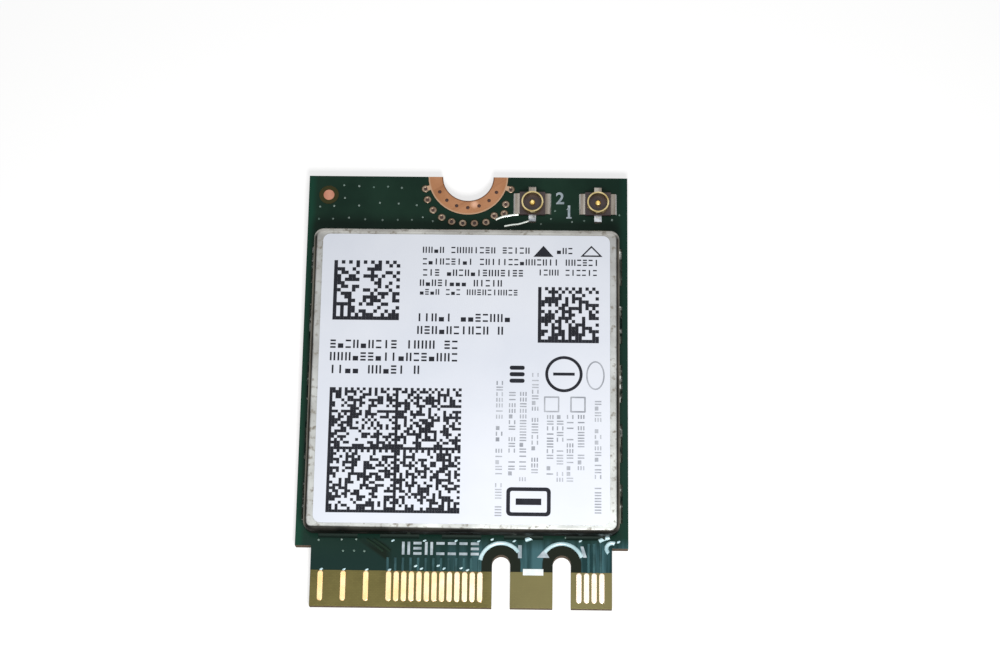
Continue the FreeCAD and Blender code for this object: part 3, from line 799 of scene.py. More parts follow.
# %% Running a tree
def grow(name, tree, points, edges=(), **inputs):
    """Run a tree on points, given in millimetres, and return the result as a plain mesh piece."""
    data = bpy.data.meshes.new(name + "_points")
    data.from_pydata([tuple(c * MM for c in point) for point in points], list(edges), [])
    seed = link_piece(name + "_points", data)
    modifier = seed.modifiers.new(tree.name, "NODES")
    modifier.node_group = tree
    for item in tree.interface.items_tree:
        if item.in_out == "INPUT" and item.name in inputs:
            modifier[item.identifier] = inputs[item.name]
    seed.update_tag()
    seen = seed.evaluated_get(bpy.context.evaluated_depsgraph_get())
    mesh = bpy.data.meshes.new_from_object(seen)
    mesh.name = name
    bpy.data.objects.remove(seed)
    return link_piece(name, mesh)


print("helper made: grow")

# %% [markdown]
# ## Edge contacts
# Each contact is a gold-plated strip with round ends. One strip could be modelled and
# copied by hand, but places at a fixed step suit a tree better. A rounded outline is filled
# and raised twice, the second time slightly smaller, which gives the top a soft edge. Then
# a copy goes to every contact place.

# %% Tree for a row of contacts
ROUND_END = 0.499
WALL_SHARE = 0.7
CAP_SCALE = 0.93
WELD = 1e-7

tree, given = start_nodes("contact_row", "Width", "Length", "Thickness")
half_width = figure(tree, "MULTIPLY", given["Width"], ROUND_END)
wall = figure(tree, "MULTIPLY", given["Thickness"], WALL_SHARE)
rest = figure(tree, "MULTIPLY", given["Thickness"], 1 - WALL_SHARE)
outline = put(tree, "GeometryNodeCurvePrimitiveQuadrilateral", {
    "Width": given["Width"], "Height": given["Length"],
})[0]
outline = put(tree, "GeometryNodeFilletCurve", {
    "Curve": outline, "Radius": half_width, "Count": 6,
}, mode="POLY")[0]
sheet = put(tree, "GeometryNodeFillCurve", {"Curve": outline}, mode="NGONS")[0]
walls = put(tree, "GeometryNodeExtrudeMesh", {"Mesh": sheet, "Offset Scale": wall, "Individual": False})
cap = put(tree, "GeometryNodeExtrudeMesh", {
    "Mesh": walls["Mesh"], "Selection": walls["Top"], "Offset Scale": rest, "Individual": False,
})
soft = put(tree, "GeometryNodeScaleElements", {
    "Geometry": cap["Mesh"], "Selection": cap["Top"], "Scale": CAP_SCALE,
})[0]
strip = tree.nodes.new("GeometryNodeJoinGeometry")
tree.links.new(soft, strip.inputs[0])
tree.links.new(put(tree, "GeometryNodeFlipFaces", {"Mesh": sheet})[0], strip.inputs[0])
closed = put(tree, "GeometryNodeMergeByDistance", {"Geometry": strip.outputs[0], "Distance": WELD})[0]
contact_tree = end_nodes(tree, copies(tree, given["Geometry"], closed), given)

# %% [markdown]
# ## Contacts in their places
# The places of the contacts are counted from the right, a quarter of a millimetre apart:
# odd ones on the top, even ones on the underside. The lower row is made like the upper one
# and mirrored. A mirror turns a shape inside out, so its faces are flipped back afterwards.

# %% Contacts in their places
CONTACT_STEP = 0.25
CONTACT_MIDDLE_PLACE = 38
CONTACT_THICKNESS = 0.04
CONTACT_Y = -13.65
MIDDLE_PLACES = range(33, 58, 2)
TOP_PLACES = [1, 3, 5, 7, *MIDDLE_PLACES, 63, 69, 75]
BOTTOM_PLACES = [2, 4, 6, *range(16, 23, 2), *range(32, 75, 2)]
contact_sizes = {
    "Width": 0.35 * MM, "Length": 2.0 * MM, "Thickness": CONTACT_THICKNESS * MM, "Finish": contact_gold,
}
board_height = BOARD_TOP / MM


def contact_x(place):
    """Middle of a contact place. Places are counted from the right."""
    return CONTACT_STEP * (CONTACT_MIDDLE_PLACE - place)


def contact_row(name, places, height):
    return grow(name, contact_tree, [(contact_x(p), CONTACT_Y, height) for p in places], **contact_sizes)


upper_row = contact_row("contact_strips_top", TOP_PLACES, board_height - CONTACT_THICKNESS)
lower_row = contact_row("contact_strips_bottom", BOTTOM_PLACES, 0.0)
lower_row.data.transform(Matrix.Translation((0, 0, CONTACT_THICKNESS * MM)) @ Matrix.Scale(-1, 4, (0, 0, 1)))
lower_row.data.flip_normals()
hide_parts("edge_contacts_top")
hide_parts("edge_contacts_bottom")
keep(upper_row)
keep(lower_row)

# %% [markdown]
# ## Pads round the screw notch
# Twelve small plated pads stand in an arc round the copper ring and join it to the copper
# inside the board. Each is a flat ring. The tree sweeps a small rectangle round a circle,
# which leaves the hole open, and sets a copy at each place.

# %% Tree for flat rings
tree, given = start_nodes("flat_rings", "Radius", "Hole", "Thickness")
middle = figure(tree, "MULTIPLY", figure(tree, "ADD", given["Radius"], given["Hole"]), 0.5)
width = figure(tree, "SUBTRACT", given["Radius"], given["Hole"])
circle = put(tree, "GeometryNodeCurvePrimitiveCircle", {"Resolution": 24, "Radius": middle})[0]
section = put(tree, "GeometryNodeCurvePrimitiveQuadrilateral", {
    "Width": width, "Height": given["Thickness"],
})[0]
flat_ring = put(tree, "GeometryNodeCurveToMesh", {"Curve": circle, "Profile Curve": section})[0]
drop = vector(tree, z=figure(tree, "MULTIPLY", given["Thickness"], -0.5))
flat_ring = put(tree, "GeometryNodeTransform", {"Geometry": flat_ring, "Translation": drop})[0]
pad_tree = end_nodes(tree, copies(tree, given["Geometry"], flat_ring), given)

# %% [markdown]
# ## Pads in their places
# The pads don't stand evenly, so each has an angle and a gap of its own. Angles round the
# notch are easier to read and to change than X and Y would be.

# %% Pads in their places
PAD_OUTER = 0.25
PAD_HOLE = 0.11
PAD_THICKNESS = 0.04
# Each pad's angle below the rear edge, and its distance from the ring.
LEFT_PADS = ((16.8, 0.33), (31.0, 0.51), (45.5, 0.67), (59.0, 0.72), (71.5, 0.71), (84.5, 0.65))
RIGHT_PADS = ((16.6, 0.33), (37.0, 0.53), (46.5, 0.91), (57.0, 0.61), (69.0, 0.79), (82.0, 0.67))


def round_notch(angle, radius):
    """Point at an angle in degrees and a distance from the notch's centre, in millimetres."""
    turn = math.radians(angle)
    return radius * math.cos(turn), RING_CENTRE.y / MM - radius * math.sin(turn), board_height


pad_points = [round_notch(180 - angle, RING_OUTER + gap) for angle, gap in LEFT_PADS]
pad_points += [round_notch(angle, RING_OUTER + gap) for angle, gap in RIGHT_PADS]
pads = grow(
    "notch_pads", pad_tree, pad_points, Radius=PAD_OUTER * MM, Hole=PAD_HOLE * MM,
    Thickness=PAD_THICKNESS * MM, Finish=pad_metal,
)
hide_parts("ground_via_pads")
keep(pads)

# %% [markdown]
# ## Necks of the ring
# The two pads nearest to the edge are joined to the ring by short necks of copper. Two are
# too few for a tree, so each is a plain plate that starts inside the ring's rim.

# %% Necks between the ring and its end pads
NECK_WIDTH = 0.34
NECK_LIFT = 0.001
NECK_OVERLAP, NECK_GAP = 0.06, 0.03
NECK_START = RING_OUTER - NECK_OVERLAP
NECK_END = RING_OUTER + LEFT_PADS[0][1] - PAD_HOLE - NECK_GAP

necks = Plates(BOARD_TOP - PAD_THICKNESS * MM, BOARD_TOP + NECK_LIFT * MM)
for angle in (180 - LEFT_PADS[0][0], RIGHT_PADS[0][0]):
    inner = Vector(round_notch(angle, NECK_START)[:2])
    outer = Vector(round_notch(angle, NECK_END)[:2])
    across = (outer - inner).orthogonal().normalized() * NECK_WIDTH / 2
    necks.plate([inner + across, inner - across, outer - across, outer + across])
keep(necks.piece("ring_necks", ring_copper))

# %% [markdown]
# ## Plugs in the plated holes
# Each hole in the pads and in the ring holds a dark plug, a little below the surface, as painted shade for
# the inside of the hole. A tree sets a short cylinder in each.

# %% Plugs in the plated holes
PLUG_DEPTH = 0.06
RING_HOLE_STEP = 20.2
RING_HOLES = 7

tree, given = start_nodes("plugs", "Radius", "Depth")
post = put(tree, "GeometryNodeMeshCylinder", {
    "Vertices": 16, "Radius": given["Radius"], "Depth": given["Depth"],
})["Mesh"]
drop = vector(tree, z=figure(tree, "MULTIPLY", given["Depth"], -1.0))
post = put(tree, "GeometryNodeTransform", {"Geometry": post, "Translation": drop})[0]
plug_tree = end_nodes(tree, copies(tree, given["Geometry"], post), given)

first_hole = 90 - RING_HOLE_STEP * (RING_HOLES - 1) / 2
ring_middle = (RING_INNER + RING_OUTER) / 2
hole_points = [round_notch(first_hole + RING_HOLE_STEP * i, ring_middle) for i in range(RING_HOLES)]
plugs = grow(
    "hole_plugs", plug_tree, pad_points + hole_points, Radius=PAD_HOLE * MM, Depth=PLUG_DEPTH * MM,
    Finish=hole_shade,
)
keep(plugs)

# %% [markdown]
# ## Sweeps along a path
# Tracks, feeds and solder follow paths on the board. A long thin shape is made best by a
# sweep: a small section is moved along a curve. Two kinds of piece need one here, so its
# steps are helpers, with others that draw the paths.

# %% Helpers for sweeps along a path
def from_middle(tree):
    """Distance from the middle of a path: 0 there, 1 at its ends."""
    along = put(tree, "GeometryNodeSplineParameter")["Factor"]
    return figure(tree, "ABSOLUTE", figure(tree, "SUBTRACT", figure(tree, "MULTIPLY", along, 2.0), 1.0))


def sweep(tree, path, *corners):
    """Closed bar with a four-cornered section along a path."""
    points = {f"Point {number}": corner for number, corner in enumerate(corners, 1)}
    section = put(tree, "GeometryNodeCurvePrimitiveQuadrilateral", points, mode="POINTS")[0]
    return put(tree, "GeometryNodeCurveToMesh", {
        "Curve": path, "Profile Curve": section, "Fill Caps": True,
    })[0]


def paths_in_one(paths):
    """Points and edges of several paths, given in millimetres on the board's face."""
    points, edges = [], []
    for path in paths:
        edges += [(len(points) + i, len(points) + i + 1) for i in range(len(path) - 1)]
        points += [(x, y, board_height) for x, y in path]
    return points, edges


def arc_path(x, y, radius, start, end, steps=16):
    """Points of an arc from one angle to another, in degrees."""
    turns = [math.radians(start + (end - start) * i / steps) for i in range(steps + 1)]
    return [(x + radius * math.cos(turn), y + radius * math.sin(turn)) for turn in turns]


print("points on an arc:", len(arc_path(0, 0, 1, 0, 90)))

# %% [markdown]
# ## Raised mask
# Copper under the mask lifts it by a few hundredths of a millimetre. Only the slopes show,
# as thin glints towards the light. A bump in the finish would not catch the light from the
# side, so a tree sweeps a low ramp along each path. It fades out towards both ends.

# %% Tree for a ridge of the mask
RIDGE_STEPS = 24
FADE_POWER = 3.0
BURIED_SHARE = 0.5

tree, given = start_nodes("mask_ridge", "Slope", "Back", "Height", "Taper")
path = put(tree, "GeometryNodeMeshToCurve", {"Mesh": given["Geometry"]})[0]
path = put(tree, "GeometryNodeCurveSplineType", {"Curve": path}, spline_type="CATMULL_ROM")[0]
path = put(tree, "GeometryNodeResampleCurve", {"Curve": path, "Count": RIDGE_STEPS})[0]
loss = figure(tree, "MULTIPLY", figure(tree, "POWER", from_middle(tree), FADE_POWER), given["Taper"])
path = put(tree, "GeometryNodeSetCurveRadius", {
    "Curve": path, "Radius": figure(tree, "SUBTRACT", 1.0, loss),
})[0]
buried = figure(tree, "MULTIPLY", given["Height"], BURIED_SHARE)
rise = figure(tree, "MULTIPLY", given["Height"], -1.0)
near = figure(tree, "MULTIPLY", given["Slope"], -1.0)
far = figure(tree, "SUBTRACT", near, given["Back"])
front_edge, front_foot = vector(tree), vector(tree, y=buried)
back_foot, crest = vector(tree, far, buried), vector(tree, near, rise)
ridge_tree = end_nodes(tree, sweep(tree, path, front_edge, front_foot, back_foot, crest), given)

# %% [markdown]
# ## Edges of the copper
# The ridges lie where a sheet of copper ends under the mask: round the key slots, at the
# right shoulder of the tab, and along the feed of a socket. An arc is drawn from its middle,
# its radius and two angles. A short edge needs only a few points, because the tree bends a
# smooth curve through them.

# %% Edges of the copper under the mask
SHOULDER = (9.925, -11.0)
# Radius of the arc, and the angles where it starts and ends.
SHOULDER_ARC = (0.24, 235, 60)
# Middle of each slot, and the angles where its arc starts and ends.
KEY_ARCS = ((KEY_MIDDLES[0], 170, 35), (KEY_MIDDLES[1], 145, 20))
TAB_EDGES = [
    [(4.25, -10.62), (4.60, -10.50), (5.20, -10.34)],
    [(9.12, -10.64), (9.40, -10.50), (9.78, -10.40)],
]
FEED_EDGES = [
    [(1.98, 11.80), (2.40, 12.00), (2.90, 12.12), (3.50, 12.20)],
    [(2.56, 11.32), (3.05, 11.42), (3.60, 11.50), (4.06, 11.66), (4.40, 11.76)],
]


def keep_ridges(name, paths, slope, back, height, taper, finish):
    """Make the ridges along some paths, with their sizes in millimetres."""
    points, edges = paths_in_one(paths)
    ridges = grow(
        name, ridge_tree, points, edges, Slope=slope * MM, Back=back * MM, Height=height * MM, Taper=taper,
        Finish=finish,
    )
    keep(ridges)


front_paths = [arc_path(middle, KEY_END_Y, KEY_RADIUS + KEY_MARGIN, *ends) for middle, *ends in KEY_ARCS]
front_paths += [arc_path(*SHOULDER, *SHOULDER_ARC), *TAB_EDGES]
# The front edges take the pale finish of painted glint.
keep_ridges(
    "mask_edges_front", front_paths, slope=0.23, back=0.05, height=0.07, taper=0.75, finish=glint_mask,
)
# The feed edges take a bright metal that stands in for their glints.
keep_ridges("mask_edges_feed", FEED_EDGES, slope=0.14, back=0.04, height=0.04, taper=0.7, finish=feed_glint)

# %% [markdown]
# ## Tracks on the contact tab
# Fine tracks run back from the contacts, and two slant across the left corner. They are
# the same kind of ridge, much lower, with a finish of their own: the mask over them is only
# a little brighter than the rest.

# %% Tracks on the contact tab
TRACK_FRONT = -12.64
MIDDLE_TRACKS_REAR = -11.75
RIGHT_TRACKS_REAR = -10.7
RIGHT_TRACKS_X = (8.47, 8.83, 9.27)
CORNER_TRACKS_X = (-6.3, -5.85)
CORNER_TRACK = ((0.0, -10.62), (0.55, -10.98), (1.1, -11.4))
TRACK_SIZES = {"slope": 0.11, "back": 0.11, "height": 0.014, "taper": 0.5}


def straight_track(x, rear):
    return [(x, TRACK_FRONT), (x, (TRACK_FRONT + rear) / 2), (x, rear)]


track_paths = [straight_track(contact_x(place), MIDDLE_TRACKS_REAR) for place in MIDDLE_PLACES]
track_paths += [straight_track(x, RIGHT_TRACKS_REAR) for x in RIGHT_TRACKS_X]
corner_paths = [[(x + aside, y) for aside, y in CORNER_TRACK] for x in CORNER_TRACKS_X]
keep_ridges("tab_tracks", track_paths, finish=track_mask, **TRACK_SIZES)
keep_ridges("corner_tracks", corner_paths, finish=corner_mask, **TRACK_SIZES)

# %% [markdown]
# ## Covered holes and their glints
# Small plated holes join the layers of the board. Under the mask they show as faint round bumps, painted pale
# as painted glint. Near the contacts some stand up as brighter, slightly oval bumps, painted pale as painted
# glint too.
# One tree makes both: it flattens a ball to a dome, turns it, and sets a copy at each hole.

# %% Tree for domes over holes
tree, given = start_nodes("covered_holes", "Width", "Depth", "Height", "Turn")
ball = put(tree, "GeometryNodeMeshUVSphere", {"Segments": 16, "Rings": 8, "Radius": 0.5})["Mesh"]
dome = put(tree, "GeometryNodeTransform", {
    "Geometry": ball, "Scale": vector(tree, given["Width"], given["Depth"], given["Height"]),
    "Rotation": vector(tree, z=given["Turn"]),
})[0]
dome = put(tree, "GeometryNodeSetShadeSmooth", {"Geometry": dome})[0]
dome_tree = end_nodes(tree, copies(tree, given["Geometry"], dome), given)

# %% [markdown]
# ## Holes in their places
# The holes keep to no grid, because each stands where a track changes layers. So their
# places are simply listed. The two sets differ in size, turn and finish.

# %% Holes in their places
REAR_HOLES = [
    (-8.59, 14.32), (-7.55, 14.27), (-6.53, 14.20), (-5.55, 14.25), (-4.59, 14.17), (-10.2, 12.74),
    (-9.23, 12.80), (-8.51, 13.39), (-7.51, 12.84), (-6.08, 13.06), (-4.78, 13.01), (-3.53, 12.90),
    (-10.25, 11.84), (-9.28, 11.85), (-8.18, 11.94), (-7.06, 11.83), (-5.86, 11.79), (-4.81, 11.81),
    (-3.84, 11.82), (-3.09, 12.02), (-2.40, 11.74), (6.02, 12.57), (5.74, 11.98), (5.06, 11.6),
    (7.19, 11.77), (8.02, 11.86), (9.94, 11.95), (10.45, 12.3),
]
FRONT_HOLES = [
    (-9.44, -10.62), (-7.92, -10.58), (-6.96, -10.56), (-7.81, -11.33), (-7.08, -11.32), (-6.40, -11.34),
    (6.87, -10.30),
]
GLINTING_HOLES = [
    (-4.53, -10.62), (-2.44, -10.60), (-0.36, -10.58), (1.13, -10.60), (2.02, -10.47), (3.48, -10.56),
    (-2.99, -12.30), (-2.61, -12.47), (-1.50, -12.26), (-1.12, -12.45), (0.01, -12.41), (0.43, -12.54),
    (7.84, -10.52), (10.35, -10.56), (-9.20, -12.57), (-7.70, -12.57), (-6.20, -12.57), (-4.70, -12.57),
]


def keep_domes(name, holes, width, depth, height, turn, finish):
    """Make a dome over each hole, with sizes in millimetres and the turn in radians."""
    domes = grow(
        name, dome_tree, [(x, y, board_height) for x, y in holes], Width=width * MM, Depth=depth * MM,
        Height=height * MM, Turn=turn, Finish=finish,
    )
    keep(domes)


keep_domes(
    "covered_hole_domes", REAR_HOLES + FRONT_HOLES, width=0.15, depth=0.15, height=0.08, turn=0.0,
    finish=via_glint,
)
# These oval domes take the pale finish of painted glint.
keep_domes(
    "hole_glint_domes", GLINTING_HOLES, width=0.26, depth=0.14, height=0.09, turn=0.45, finish=glint_mask,
)

# %% [markdown]
# ## Solder at the shield's foot
# Solder creeps up the frame's feet and hardens in hollow, uneven fillets. A tree sweeps a
# hollow section along each foot. The section shrinks towards the ends and swells by noise,
# because solder never lies evenly.

# %% Tree for solder fillets
FILLET_STEPS = 40
END_POWER = 6.0
LUMP_SCALE = 2600.0
LUMP_GAIN, LUMP_BASE = 0.7, 0.5
LEAST_SIZE = 0.1
HOLLOW_OUT, HOLLOW_UP = 0.6, 0.32

tree, given = start_nodes("solder_fillets", "Width", "Height")
path = put(tree, "GeometryNodeMeshToCurve", {"Mesh": given["Geometry"]})[0]
path = put(tree, "GeometryNodeResampleCurve", {"Curve": path, "Count": FILLET_STEPS})[0]
ends = figure(tree, "POWER", from_middle(tree), END_POWER)
taper = figure(tree, "SQRT", figure(tree, "SUBTRACT", 1.0, ends))
lumps = put(tree, "ShaderNodeTexNoise", {
    "Vector": put(tree, "GeometryNodeInputPosition")[0], "Scale": LUMP_SCALE, "Detail": 2.0,
})[0]
swell = figure(tree, "ADD", figure(tree, "MULTIPLY", lumps, LUMP_GAIN), LUMP_BASE)
size = figure(tree, "MULTIPLY", taper, figure(tree, "MINIMUM", swell, 1.0))
path = put(tree, "GeometryNodeSetCurveRadius", {
    "Curve": path, "Radius": figure(tree, "MAXIMUM", size, LEAST_SIZE),
})[0]
rise = figure(tree, "MULTIPLY", given["Height"], -1.0)
hollow_out = figure(tree, "MULTIPLY", given["Width"], HOLLOW_OUT)
hollow_up = figure(tree, "MULTIPLY", rise, HOLLOW_UP)
heel, crown = vector(tree), vector(tree, y=rise)
hollow, toe = vector(tree, hollow_out, hollow_up), vector(tree, given["Width"])
fillet_tree = end_nodes(tree, sweep(tree, path, heel, crown, hollow, toe), given)

# %% [markdown]
# ## Paths along the feet
# The frame stands on five feet on each side, with gaps between them. Walking round the
# lid's outline from corner to corner gives each foot its path. The outline is read from the
# lid itself, so the fillets would follow if the lid were made larger.

# %% Paths along the feet
SHEET = 0.15
LID_GAP = 0.03
FEET_PER_SIDE = 5
FOOT_GAP = 1.5

lid_low, lid_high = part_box("shield_lid")
inset = SHEET + LID_GAP
left, right = lid_low.x / MM + inset, lid_high.x / MM - inset
front, rear = lid_low.y / MM + inset, lid_high.y / MM - inset


def foot_paths(start, end):
    """Path along each foot of one wall, from its start to its end."""
    start, end = Vector(start), Vector(end)
    pitch = (end - start).length / FEET_PER_SIDE
    way = (end - start).normalized()
    paths = []
    for foot in range(FEET_PER_SIDE):
        first = start + way * (foot * pitch + FOOT_GAP / 2)
        last = start + way * ((foot + 1) * pitch - FOOT_GAP / 2)
        paths.append([tuple(first), tuple(last)])
    return paths


corners = [(left, front), (right, front), (right, rear), (left, rear)]
feet = []
for number, corner in enumerate(corners):
    feet += foot_paths(corner, corners[(number + 1) % len(corners)])
print("feet:", len(feet))

# %% [markdown]
# ## Solder on the feet
# The tree runs on all the paths at once. Its fillets replace the plain solder of the CAD
# model, which stands on the same feet.

# %% Solder on the feet
FILLET_WIDTH = 0.4
FILLET_HEIGHT = 0.22

points, edges = paths_in_one(feet)
foot_solder = grow(
    "foot_solder", fillet_tree, points, edges, Width=FILLET_WIDTH * MM, Height=FILLET_HEIGHT * MM,
    Finish=fillet_solder,
)
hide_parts("shield_solder")
keep(foot_solder)

# %% [markdown]
# ## One mark of print
# Fine print is drawn as plain bars: across, upright, or a low block. A font could set it,
# but from a step away only its grey and its rhythm show, and bars give both with few faces.

# %% One mark of print
BAR_KINDS = ("double", "triple", "posts", "posts", "post", "low")
STROKE_SHARE = 0.2
TRIPLE_REACH = 0.8
LOW_TOP = 0.1


def bar_cell(plates, x, y, width, height, kind, upright):
    """One abstract print mark, centred on a point: bars across, posts, or a low block."""
    stroke = height * STROKE_SHARE
    half_w, half_h = width / 2, height / 2
    levels = (-TRIPLE_REACH * half_h, 0, TRIPLE_REACH * half_h)
    bars = {
        "double": [(-half_w, half_w, half_h - stroke, half_h), (-half_w, half_w, -half_h, stroke - half_h)],
        "triple": [(-half_w, half_w, level - stroke / 2, level + stroke / 2) for level in levels],
        "posts": [(-half_w, stroke - half_w, -half_h, half_h), (half_w - stroke, half_w, -half_h, half_h)],
        "post": [(-stroke / 2, stroke / 2, -half_h, half_h)],
        "low": [(-half_w, half_w, -half_h, LOW_TOP * half_h)],
    }
    for left, right, bottom, top in bars[kind]:
        if upright:
            plates.box(x + left, x + right, y + bottom, y + top)
        else:
            plates.box(x + bottom, x + top, y - right, y - left)


print("kinds of bar:", sorted(set(BAR_KINDS)))

# %% [markdown]
# ## Rows of print
# Marks stand in rows, in runs with gaps between them. A dice with a fixed seed picks each
# mark and each gap, so that every run of the script gives the same rows.

# %% Rows of print
WIDTH_SHARE = 0.62
STEP_SHARE = 0.88
LEAST_RUN = 3
GAP_CHANCE = 0.2


def bar_row(plates, start, end, across, height, dice, upright=True):
    """Row of abstract marks along X, or down along Y, with gaps between runs."""
    width = height * WIDTH_SHARE
    place = start + width / 2
    run = 0
    while place + width / 2 <= end:
        run += 1
        if run > LEAST_RUN and dice.random() < GAP_CHANCE:
            run = 0
        else:
            kind = dice.choice(BAR_KINDS)
            x, y = (place, across) if upright else (across, -place)
            bar_cell(plates, x, y, width, height, kind, upright)
        place += height * STEP_SHARE


print("one gap in", round(1 / GAP_CHANCE), "after a run of", LEAST_RUN)

# %% [markdown]
# ## Marks printed on the board
# Ink on a board is screened on, a few thousandths thick. At the front there is a row of bars and small marks
# beside the key slots. A white block between the contacts is painted glint on the mask's front edge. At the
# rear are the foot and the flag of a number. Thin plates make them all, sunk a little so that no gap shows
# underneath.

# %% Board ink
INK = 0.006 * MM
INK_SINK = 0.002 * MM
CONTACT_SINK = 0.042 * MM
# Start, end, middle and height of the row.
FRONT_ROW = (-3.92, 1.29, -11.12, 0.86)
FRONT_ROW_SEED = 7
FRONT_SHAPES = (
    [(4.98, -11.66), (5.80, -11.66), (5.48, -11.10)],
    [(3.74, -11.70), (3.98, -11.70), (3.98, -10.84), (3.74, -10.84)],
    [(8.02, -11.62), (8.26, -11.62), (8.04, -10.88), (7.84, -10.88)],
)
NUMBER_FOOT = (6.80, 7.16, 12.02, 12.13)
NUMBER_FLAG = [(6.80, 12.66), (6.93, 12.66), (7.00, 12.80), (7.00, 12.92)]
KEY_GLINT = (4.07, 5.41, -12.84, -12.42)

board_print = Plates(BOARD_TOP - INK_SINK, BOARD_TOP + INK)
bar_row(board_print, *FRONT_ROW, random.Random(FRONT_ROW_SEED))
for shape in FRONT_SHAPES:
    board_print.plate(shape)
board_print.box(*NUMBER_FOOT)
board_print.plate(NUMBER_FLAG)
keep(board_print.piece("board_marks", board_ink))
# Painted glint on the mask's front edge, as a white block.
key_glint = Plates(BOARD_TOP - CONTACT_SINK, BOARD_TOP + INK)
key_glint.box(*KEY_GLINT)
keep(key_glint.piece("key_glint", glint_white))

# %% [markdown]
# ## Numbers of the sockets
# Two numbers at the rear tell the antenna sockets apart. Blender's own font draws them. A
# text object is turned into a plain mesh before it is moved to its place, so that the piece
# sits at the origin like all others.

# %% Numbers of the sockets
NUMBER_HEIGHT = 0.85
FONT_SHARE = 1.4
STROKE_GAIN = 0.025 * MM
SOCKET_NUMBERS = {"2": (6.36, 13.45), "1": (6.98, 12.50)}


def printed_number(text, x, y):
    """Number in board ink, centred on a point. Returns its mesh in place."""
    words = bpy.data.curves.new("number_" + text, "FONT")
    words.body = text
    words.align_x = "CENTER"
    words.align_y = "CENTER"
    words.size = NUMBER_HEIGHT * FONT_SHARE * MM
    words.extrude = INK / 2
    words.offset = STROKE_GAIN
    holder = link_piece("number_" + text, words)
    seen = holder.evaluated_get(bpy.context.evaluated_depsgraph_get())
    mesh = bpy.data.meshes.new_from_object(seen)
    bpy.data.objects.remove(holder)
    mesh.transform(Matrix.Translation((x * MM, y * MM, BOARD_TOP + INK / 2)))
    mesh.materials.clear()
    mesh.materials.append(board_ink)
    return link_piece("socket_number_" + text, mesh)


for text, place in SOCKET_NUMBERS.items():
    keep(printed_number(text, *place))

# %% [markdown]
# ## Label
# The label is a thin white sheet with rounded corners. It replaces the plain solid and is
# one hundredth lower, so that the ink on it stays inside the height of the solid part.

# %% Label sheet
PRINT_THICKNESS = 0.008 * MM
PRINT_ROOM = 0.01 * MM
LABEL_CORNER = 0.5
label_low, label_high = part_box("label")
LABEL_TOP = label_high.z - PRINT_ROOM
label_edges = [c / MM for c in (label_low.x, label_high.x, label_low.y, label_high.y)]
sheet = Plates(label_low.z, LABEL_TOP)
sheet.plate(rounded_outline(*label_edges, LABEL_CORNER))
label = sheet.piece("label_sheet", label_paper)
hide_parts("label")
keep(label)

# %% [markdown]
# ## Square codes
# Square codes are rows and columns of dark modules. Plates could be drawn one by one, but
# a rule is shorter. The tree starts with a grid of points, and works out the row and the
# column of each point from its place.

# %% Grid of a square code
tree, given = start_nodes(
    "square_code", "Pitch_X", "Pitch_Y", "Thickness", "Share", whole=("Columns", "Rows", "Seed"),
)


def count_from_first(place, pitch, last):
    """Number of a row or column, from 0, worked out from its place about the middle."""
    return figure(tree, "ADD", figure(tree, "DIVIDE", place, pitch), figure(tree, "MULTIPLY", last, 0.5))


last_column = figure(tree, "SUBTRACT", given["Columns"], 1.0)
last_row = figure(tree, "SUBTRACT", given["Rows"], 1.0)
grid = put(tree, "GeometryNodeMeshGrid", {
    "Size X": figure(tree, "MULTIPLY", last_column, given["Pitch_X"]),
    "Size Y": figure(tree, "MULTIPLY", last_row, given["Pitch_Y"]),
    "Vertices X": given["Columns"], "Vertices Y": given["Rows"],
})["Mesh"]
place = parts(tree, put(tree, "GeometryNodeInputPosition")[0])
column = count_from_first(place["X"], given["Pitch_X"], last_column)
row = count_from_first(place["Y"], given["Pitch_Y"], last_row)
print("the grid takes", len(tree.nodes), "nodes")

# %% [markdown]
# ## Dark modules
# Two sides of a code are full, the other two are dotted, and the rest is picked at random
# from a fixed seed. Each module is a hair smaller than its place, so that neighbours share
# no wall.

# %% Dark modules of a code
MODULE_SHARE = 0.985
SAME_WITHIN = 0.1


def logic(operation, first, second=False):
    return put(tree, "FunctionNodeBooleanMath", {0: first, 1: second}, operation=operation)[0]


def same(first, second):
    return put(tree, "FunctionNodeCompare", {
        "A": first, "B": second, "Epsilon": SAME_WITHIN,
    }, operation="EQUAL")[0]


full_side = logic("OR", same(column, 0.0), same(row, 0.0))
dotted_side = logic("OR", same(column, last_column), same(row, last_row))
parity = figure(tree, "MODULO", figure(tree, "ROUND", figure(tree, "ADD", column, row)), 2.0)
chance = put(tree, "FunctionNodeRandomValue", {
    "Probability": given["Share"], "Seed": given["Seed"],
}, data_type="BOOLEAN")[3]
inside = logic("AND", chance, logic("NOT", dotted_side))
dots = logic("AND", dotted_side, same(parity, 0.0))
dark = logic("OR", full_side, logic("OR", inside, dots))
wide, deep = (figure(tree, "MULTIPLY", given[title], MODULE_SHARE) for title in ("Pitch_X", "Pitch_Y"))
module = put(tree, "GeometryNodeMeshCube", {"Size": vector(tree, wide, deep, given["Thickness"])})["Mesh"]
modules = copies(tree, grid, module, Selection=dark)
code_tree = end_nodes(tree, copies(tree, given["Geometry"], modules), given)

# %% [markdown]
# ## Codes in their places
# Two codes stand alone. At the front left four with finer modules meet like tiles. Each is
# given by the rectangle that it fills, and the size of its modules follows from that.

# %% Codes in their places
DARK_SHARE = 0.5
# Left, right, front and rear edge of each code.
REAR_LEFT_CODE = (-8.93, -4.45, 4.13, 8.35)
RIGHT_CODE = (4.90, 9.00, 2.65, 6.57)
TILE_X, TILE_Y = (-8.93, -4.53, -0.13), (-9.08, -4.83, -0.58)
TILE_SEED = 20


